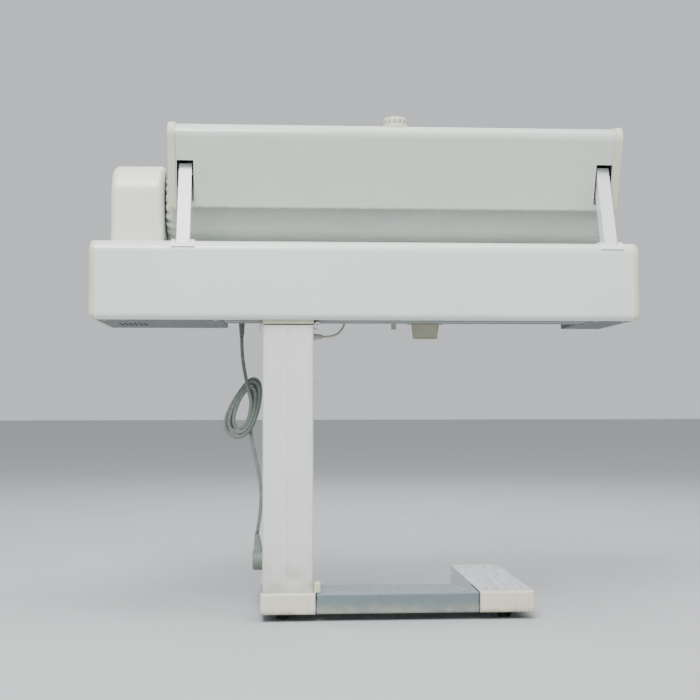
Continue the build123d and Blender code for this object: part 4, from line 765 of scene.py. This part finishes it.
class IRONER_OT_knob(bpy.types.Operator):
    """The temperature knob: a drum with ribs round its lower band and ticks round the upper one"""

    bl_idname = "ironer.knob"
    bl_label = "Temperature knob"

    def execute(self, context):
        low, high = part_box("temperature_knob")
        x, y = (low.x + high.x) / 2, (low.y + high.y) / 2
        radius = (high.x - low.x) / 2
        top = high.z
        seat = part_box("hood_shell")[1].z + 0.0004
        spindle = 0.004
        wall, groove = radius - 0.0005, radius - 0.0014
        profile = [(low.z, 0.0), (low.z, spindle), (seat, spindle), (seat, groove), (seat + 0.0008, wall),
                   (seat + 0.0092, wall), (seat + 0.0099, groove), (seat + 0.0106, wall),
                   (top - 0.0022, radius - 0.0009), (top - 0.0008, radius - 0.0020), (top, radius - 0.0044),
                   (top - 0.0003, radius - 0.0100), (top - 0.0010, 0.0)]
        body = add_object("knob_body", lathe("knob_body", profile, (x, y, 0), "Z", 96), "cream_plastic")
        rib_mesh = lathe("rib", [(seat + 0.0012, 0.0002), (seat + 0.0019, 0.0009), (seat + 0.0080, 0.0009),
                                 (seat + 0.0088, 0.0002)], (0, 0, 0), "Z", 8)
        rib = add_object("rib", rib_mesh)
        ribs = repeated("ribs", "ring", rib, "cream_plastic", context.scene.ironer_sizes.knob_ribs, (x, y, 0),
                        radius=radius - 0.0007)
        bar = bpy.data.meshes.new("tick")
        tick_place, tick_size = Vector((0, 0, seat + 0.0152)), Vector((0.0008, 0.0013, 0.0050))
        work = bmesh.new()
        bmesh.ops.create_cube(work, size=1, matrix=Matrix.LocRotScale(tick_place, None, tick_size))
        bmesh.ops.bevel(work, geom=work.edges[:], offset=0.0002, segments=2)
        work.to_mesh(bar)
        work.free()
        tick = add_object("tick", bar)
        ticks = repeated("ticks", "ring", tick, "knob_mark", 14, (x, y, 0), radius=radius - 0.0008,
                         turn=(0, 0, 0.12))
        discard(rib, tick)
        knob = joined("knob", [body, ribs, ticks])
        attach(knob, "temperature_knob")
        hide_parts("temperature_knob")
        return {"FINISHED"}


def screw_pattern(radius):
    """A domed screw head with a cross cut, its axis along +Z and its seat at the origin."""
    sunk, middle = -0.0006, 0.0001
    dome = [(sunk, middle), (sunk, radius * 0.9), (0, radius), (radius * 0.16, radius * 0.94),
            (radius * 0.34, radius * 0.66), (radius * 0.42, radius * 0.34), (radius * 0.43, middle)]
    mesh = lathe("screw", dome, (0, 0, 0), "Z", 24)
    work = bmesh.new()
    work.from_mesh(mesh)
    for vertex in work.verts:
        x, y = vertex.co.x, vertex.co.y
        far = math.hypot(x, y)
        if vertex.co.z > 0 and far < radius * 0.7 and min(abs(x), abs(y)) < radius * 0.12:
            vertex.co.z -= radius * 0.4
    work.to_mesh(mesh)
    work.free()
    return add_object("screw", mesh)


class IRONER_OT_screws(bpy.types.Operator):
    """Screws in the end caps, the underside and the stand"""

    bl_idname = "ironer.screws"
    bl_label = "Screws"

    def execute(self, context):
        pattern = screw_pattern(context.scene.ironer_sizes.screw_radius)
        to_left, to_right, down = (0, -math.pi / 2, 0), (0, math.pi / 2, 0), (math.pi, 0, 0)

        def row(count, place, step, turn=(0, 0, 0)):
            """Screws in a row from a place, with the step from each to the next."""
            return repeated("s", "row", pattern, "steel", count, place, step, turn=turn)

        unit = []
        inset = 0.045  # from the edges of a casing end cap
        for side, turn in (("left", to_left), ("right", to_right)):
            low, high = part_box(f"box_end_cap_{side}")
            x = low.x if side == "left" else high.x
            unit.append(row(2, (x, low.y + inset, high.z - inset), (0, high.y - low.y - 2 * inset, 0), turn))
            unit.append(row(2, (x, low.y + inset, low.z + inset), (0, 0.17, 0), turn))
        inset_x, inset_y = 0.014, 0.012  # from the edges of an underside module
        for side in ("left", "right"):
            low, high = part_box(f"end_module_{side}")
            for y in (low.y + inset_y, high.y - inset_y):
                unit.append(row(2, (low.x + inset_x, y, low.z), (high.x - low.x - 2 * inset_x, 0, 0), down))
        low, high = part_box("chassis_pan")
        count, inset_x, inset_y = 5, 0.12, 0.02
        unit.append(row(count, (low.x + inset_x, high.y - inset_y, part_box("slide_rail")[1].z),
                        ((high.x - low.x - 2 * inset_x) / (count - 1), 0, 0), down))
        group = joined("unit_screws", unit)
        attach(group, "ironing_unit")
        hood = []
        for side, turn in (("left", to_left), ("right", to_right)):
            low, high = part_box(f"hood_end_cap_{side}")
            x = low.x if side == "left" else high.x
            hood.append(row(2, (x, low.y + 0.030, high.z - 0.022), (0, 0.095, 0), turn))
        group = joined("hood_screws", hood)
        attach(group, "hood")
        stand = []
        low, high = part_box("right_foot")
        inset_x = 0.018
        stand.append(row(2, (low.x + inset_x, low.y + 0.030, high.z), (high.x - low.x - 2 * inset_x, 0, 0)))
        low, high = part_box("column")
        cap = 0.006  # thickness of the cap's plate on the column
        stand.append(row(2, (low.x + 0.016, high.y - 0.014, high.z + cap), (0.058, 0, 0)))
        discard(pattern)
        group = joined("stand_screws", stand)
        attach(group, "stand")
        return {"FINISHED"}


class IRONER_OT_strain_relief(bpy.types.Operator):
    """The ribbed sleeve where the mains lead leaves the casing"""

    bl_idname = "ironer.strain_relief"
    bl_label = "Strain relief"

    def execute(self, context):
        low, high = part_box("cord_strain_relief")
        x, y = (low.x + high.x) / 2, (low.y + high.y) / 2
        tip = context.scene.ironer_sizes.lead_diameter / 2 + 0.0006
        root = 0.0062
        profile = [(low.z, 0.0), (low.z, tip)]
        ribs, rib_height = 9, 0.0008
        span = high.z - 0.006 - low.z
        for rib in range(ribs):
            start = low.z + span * rib / ribs
            base = tip + (root - tip) * rib / ribs
            profile += [(start + span * 0.02, base), (start + span * 0.035, base + rib_height),
                        (start + span * 0.07, base + rib_height), (start + span * 0.085, base)]
        profile += [(high.z - 0.005, root), (high.z - 0.0045, 0.0085), (high.z - 0.0002, 0.0088),
                    (high.z, 0.0)]
        sleeve = add_object("strain_relief", lathe("strain_relief", profile, (x, y, 0), "Z", 32), "lead_grey")
        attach(sleeve, "ironing_unit")
        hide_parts("cord_strain_relief")
        return {"FINISHED"}


class IRONER_OT_handle(bpy.types.Operator):
    """A raised rim on the release handle"""

    bl_idname = "ironer.handle"
    bl_label = "Release handle"

    def execute(self, context):
        low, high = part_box("release_handle")
        top, bottom = high.z - 0.011, low.z
        face_y = low.y + 0.0002
        left, right = 0.094, 0.149  # the flap's sides; the node's pin goes past them
        edge, taper = 0.0006, 0.0047
        outer = [(left + edge, top), (right - edge, top), (right - taper, bottom + edge),
                 (left + taper, bottom + edge)]
        middle = Vector(((left + right) / 2, (top + bottom) / 2))
        section = ((0.0, 0.0), (0.0002, 0.0008), (0.0016, 0.0008), (0.0022, 0.0001), (0.0022, -0.0008),
                   (0.0, -0.0008))  # the rim's, as inset and height
        rings = []
        for inset, depth in section:
            ring = []
            for px, pz in outer:
                away = Vector((px, pz)) - middle
                kept = 1 - inset / away.length * 1.3
                ring.append((middle.x + away.x * kept, face_y - depth, middle.y + away.y * kept))
            rings.append(ring)
        vertices = [point for ring in rings for point in ring]
        faces = []
        for step in range(len(rings)):
            after = (step + 1) % len(rings)
            for corner in range(4):
                nxt = (corner + 1) % 4
                faces.append((step * 4 + corner, step * 4 + nxt, after * 4 + nxt, after * 4 + corner))
        rim = add_object("handle_rim", mesh_of("handle_rim", vertices, faces, False), "handle")
        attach(rim, "release_handle")
        return {"FINISHED"}


class IRONER_PT_panel(bpy.types.Panel):
    """Builds the ironer's looks piece by piece"""

    bl_label = "Rotary ironer"
    bl_idname = "IRONER_PT_panel"
    bl_space_type = "VIEW_3D"
    bl_region_type = "UI"
    bl_category = "Ironer"

    def draw(self, context):
        for group in (context.scene.ironer_finishes, context.scene.ironer_sizes):
            for name in group.bl_rna.properties.keys():
                if name not in ("rna_type", "name"):
                    self.layout.prop(group, name)
        for operator in OPERATORS:
            self.layout.operator(operator.bl_idname)


OPERATORS = (IRONER_OT_stage, IRONER_OT_finishes, IRONER_OT_leads, IRONER_OT_roller_cover, IRONER_OT_knob,
             IRONER_OT_screws, IRONER_OT_strain_relief, IRONER_OT_handle)
CLASSES = (IronerFinishes, IronerSizes, *OPERATORS, IRONER_PT_panel)


def register():
    for cls in CLASSES:
        bpy.utils.register_class(cls)
    bpy.types.Scene.ironer_finishes = PointerProperty(type=IronerFinishes)
    bpy.types.Scene.ironer_sizes = PointerProperty(type=IronerSizes)


def unregister():
    del bpy.types.Scene.ironer_sizes
    del bpy.types.Scene.ironer_finishes
    for cls in reversed(CLASSES):
        bpy.utils.unregister_class(cls)


def main():
    """Runs every operator in order."""
    register()
    ironer = bpy.ops.ironer
    for build in (ironer.finishes, ironer.stage, ironer.leads, ironer.roller_cover, ironer.knob,
                  ironer.screws, ironer.strain_relief, ironer.handle):
        build()


if __name__ == "__main__":
    main()
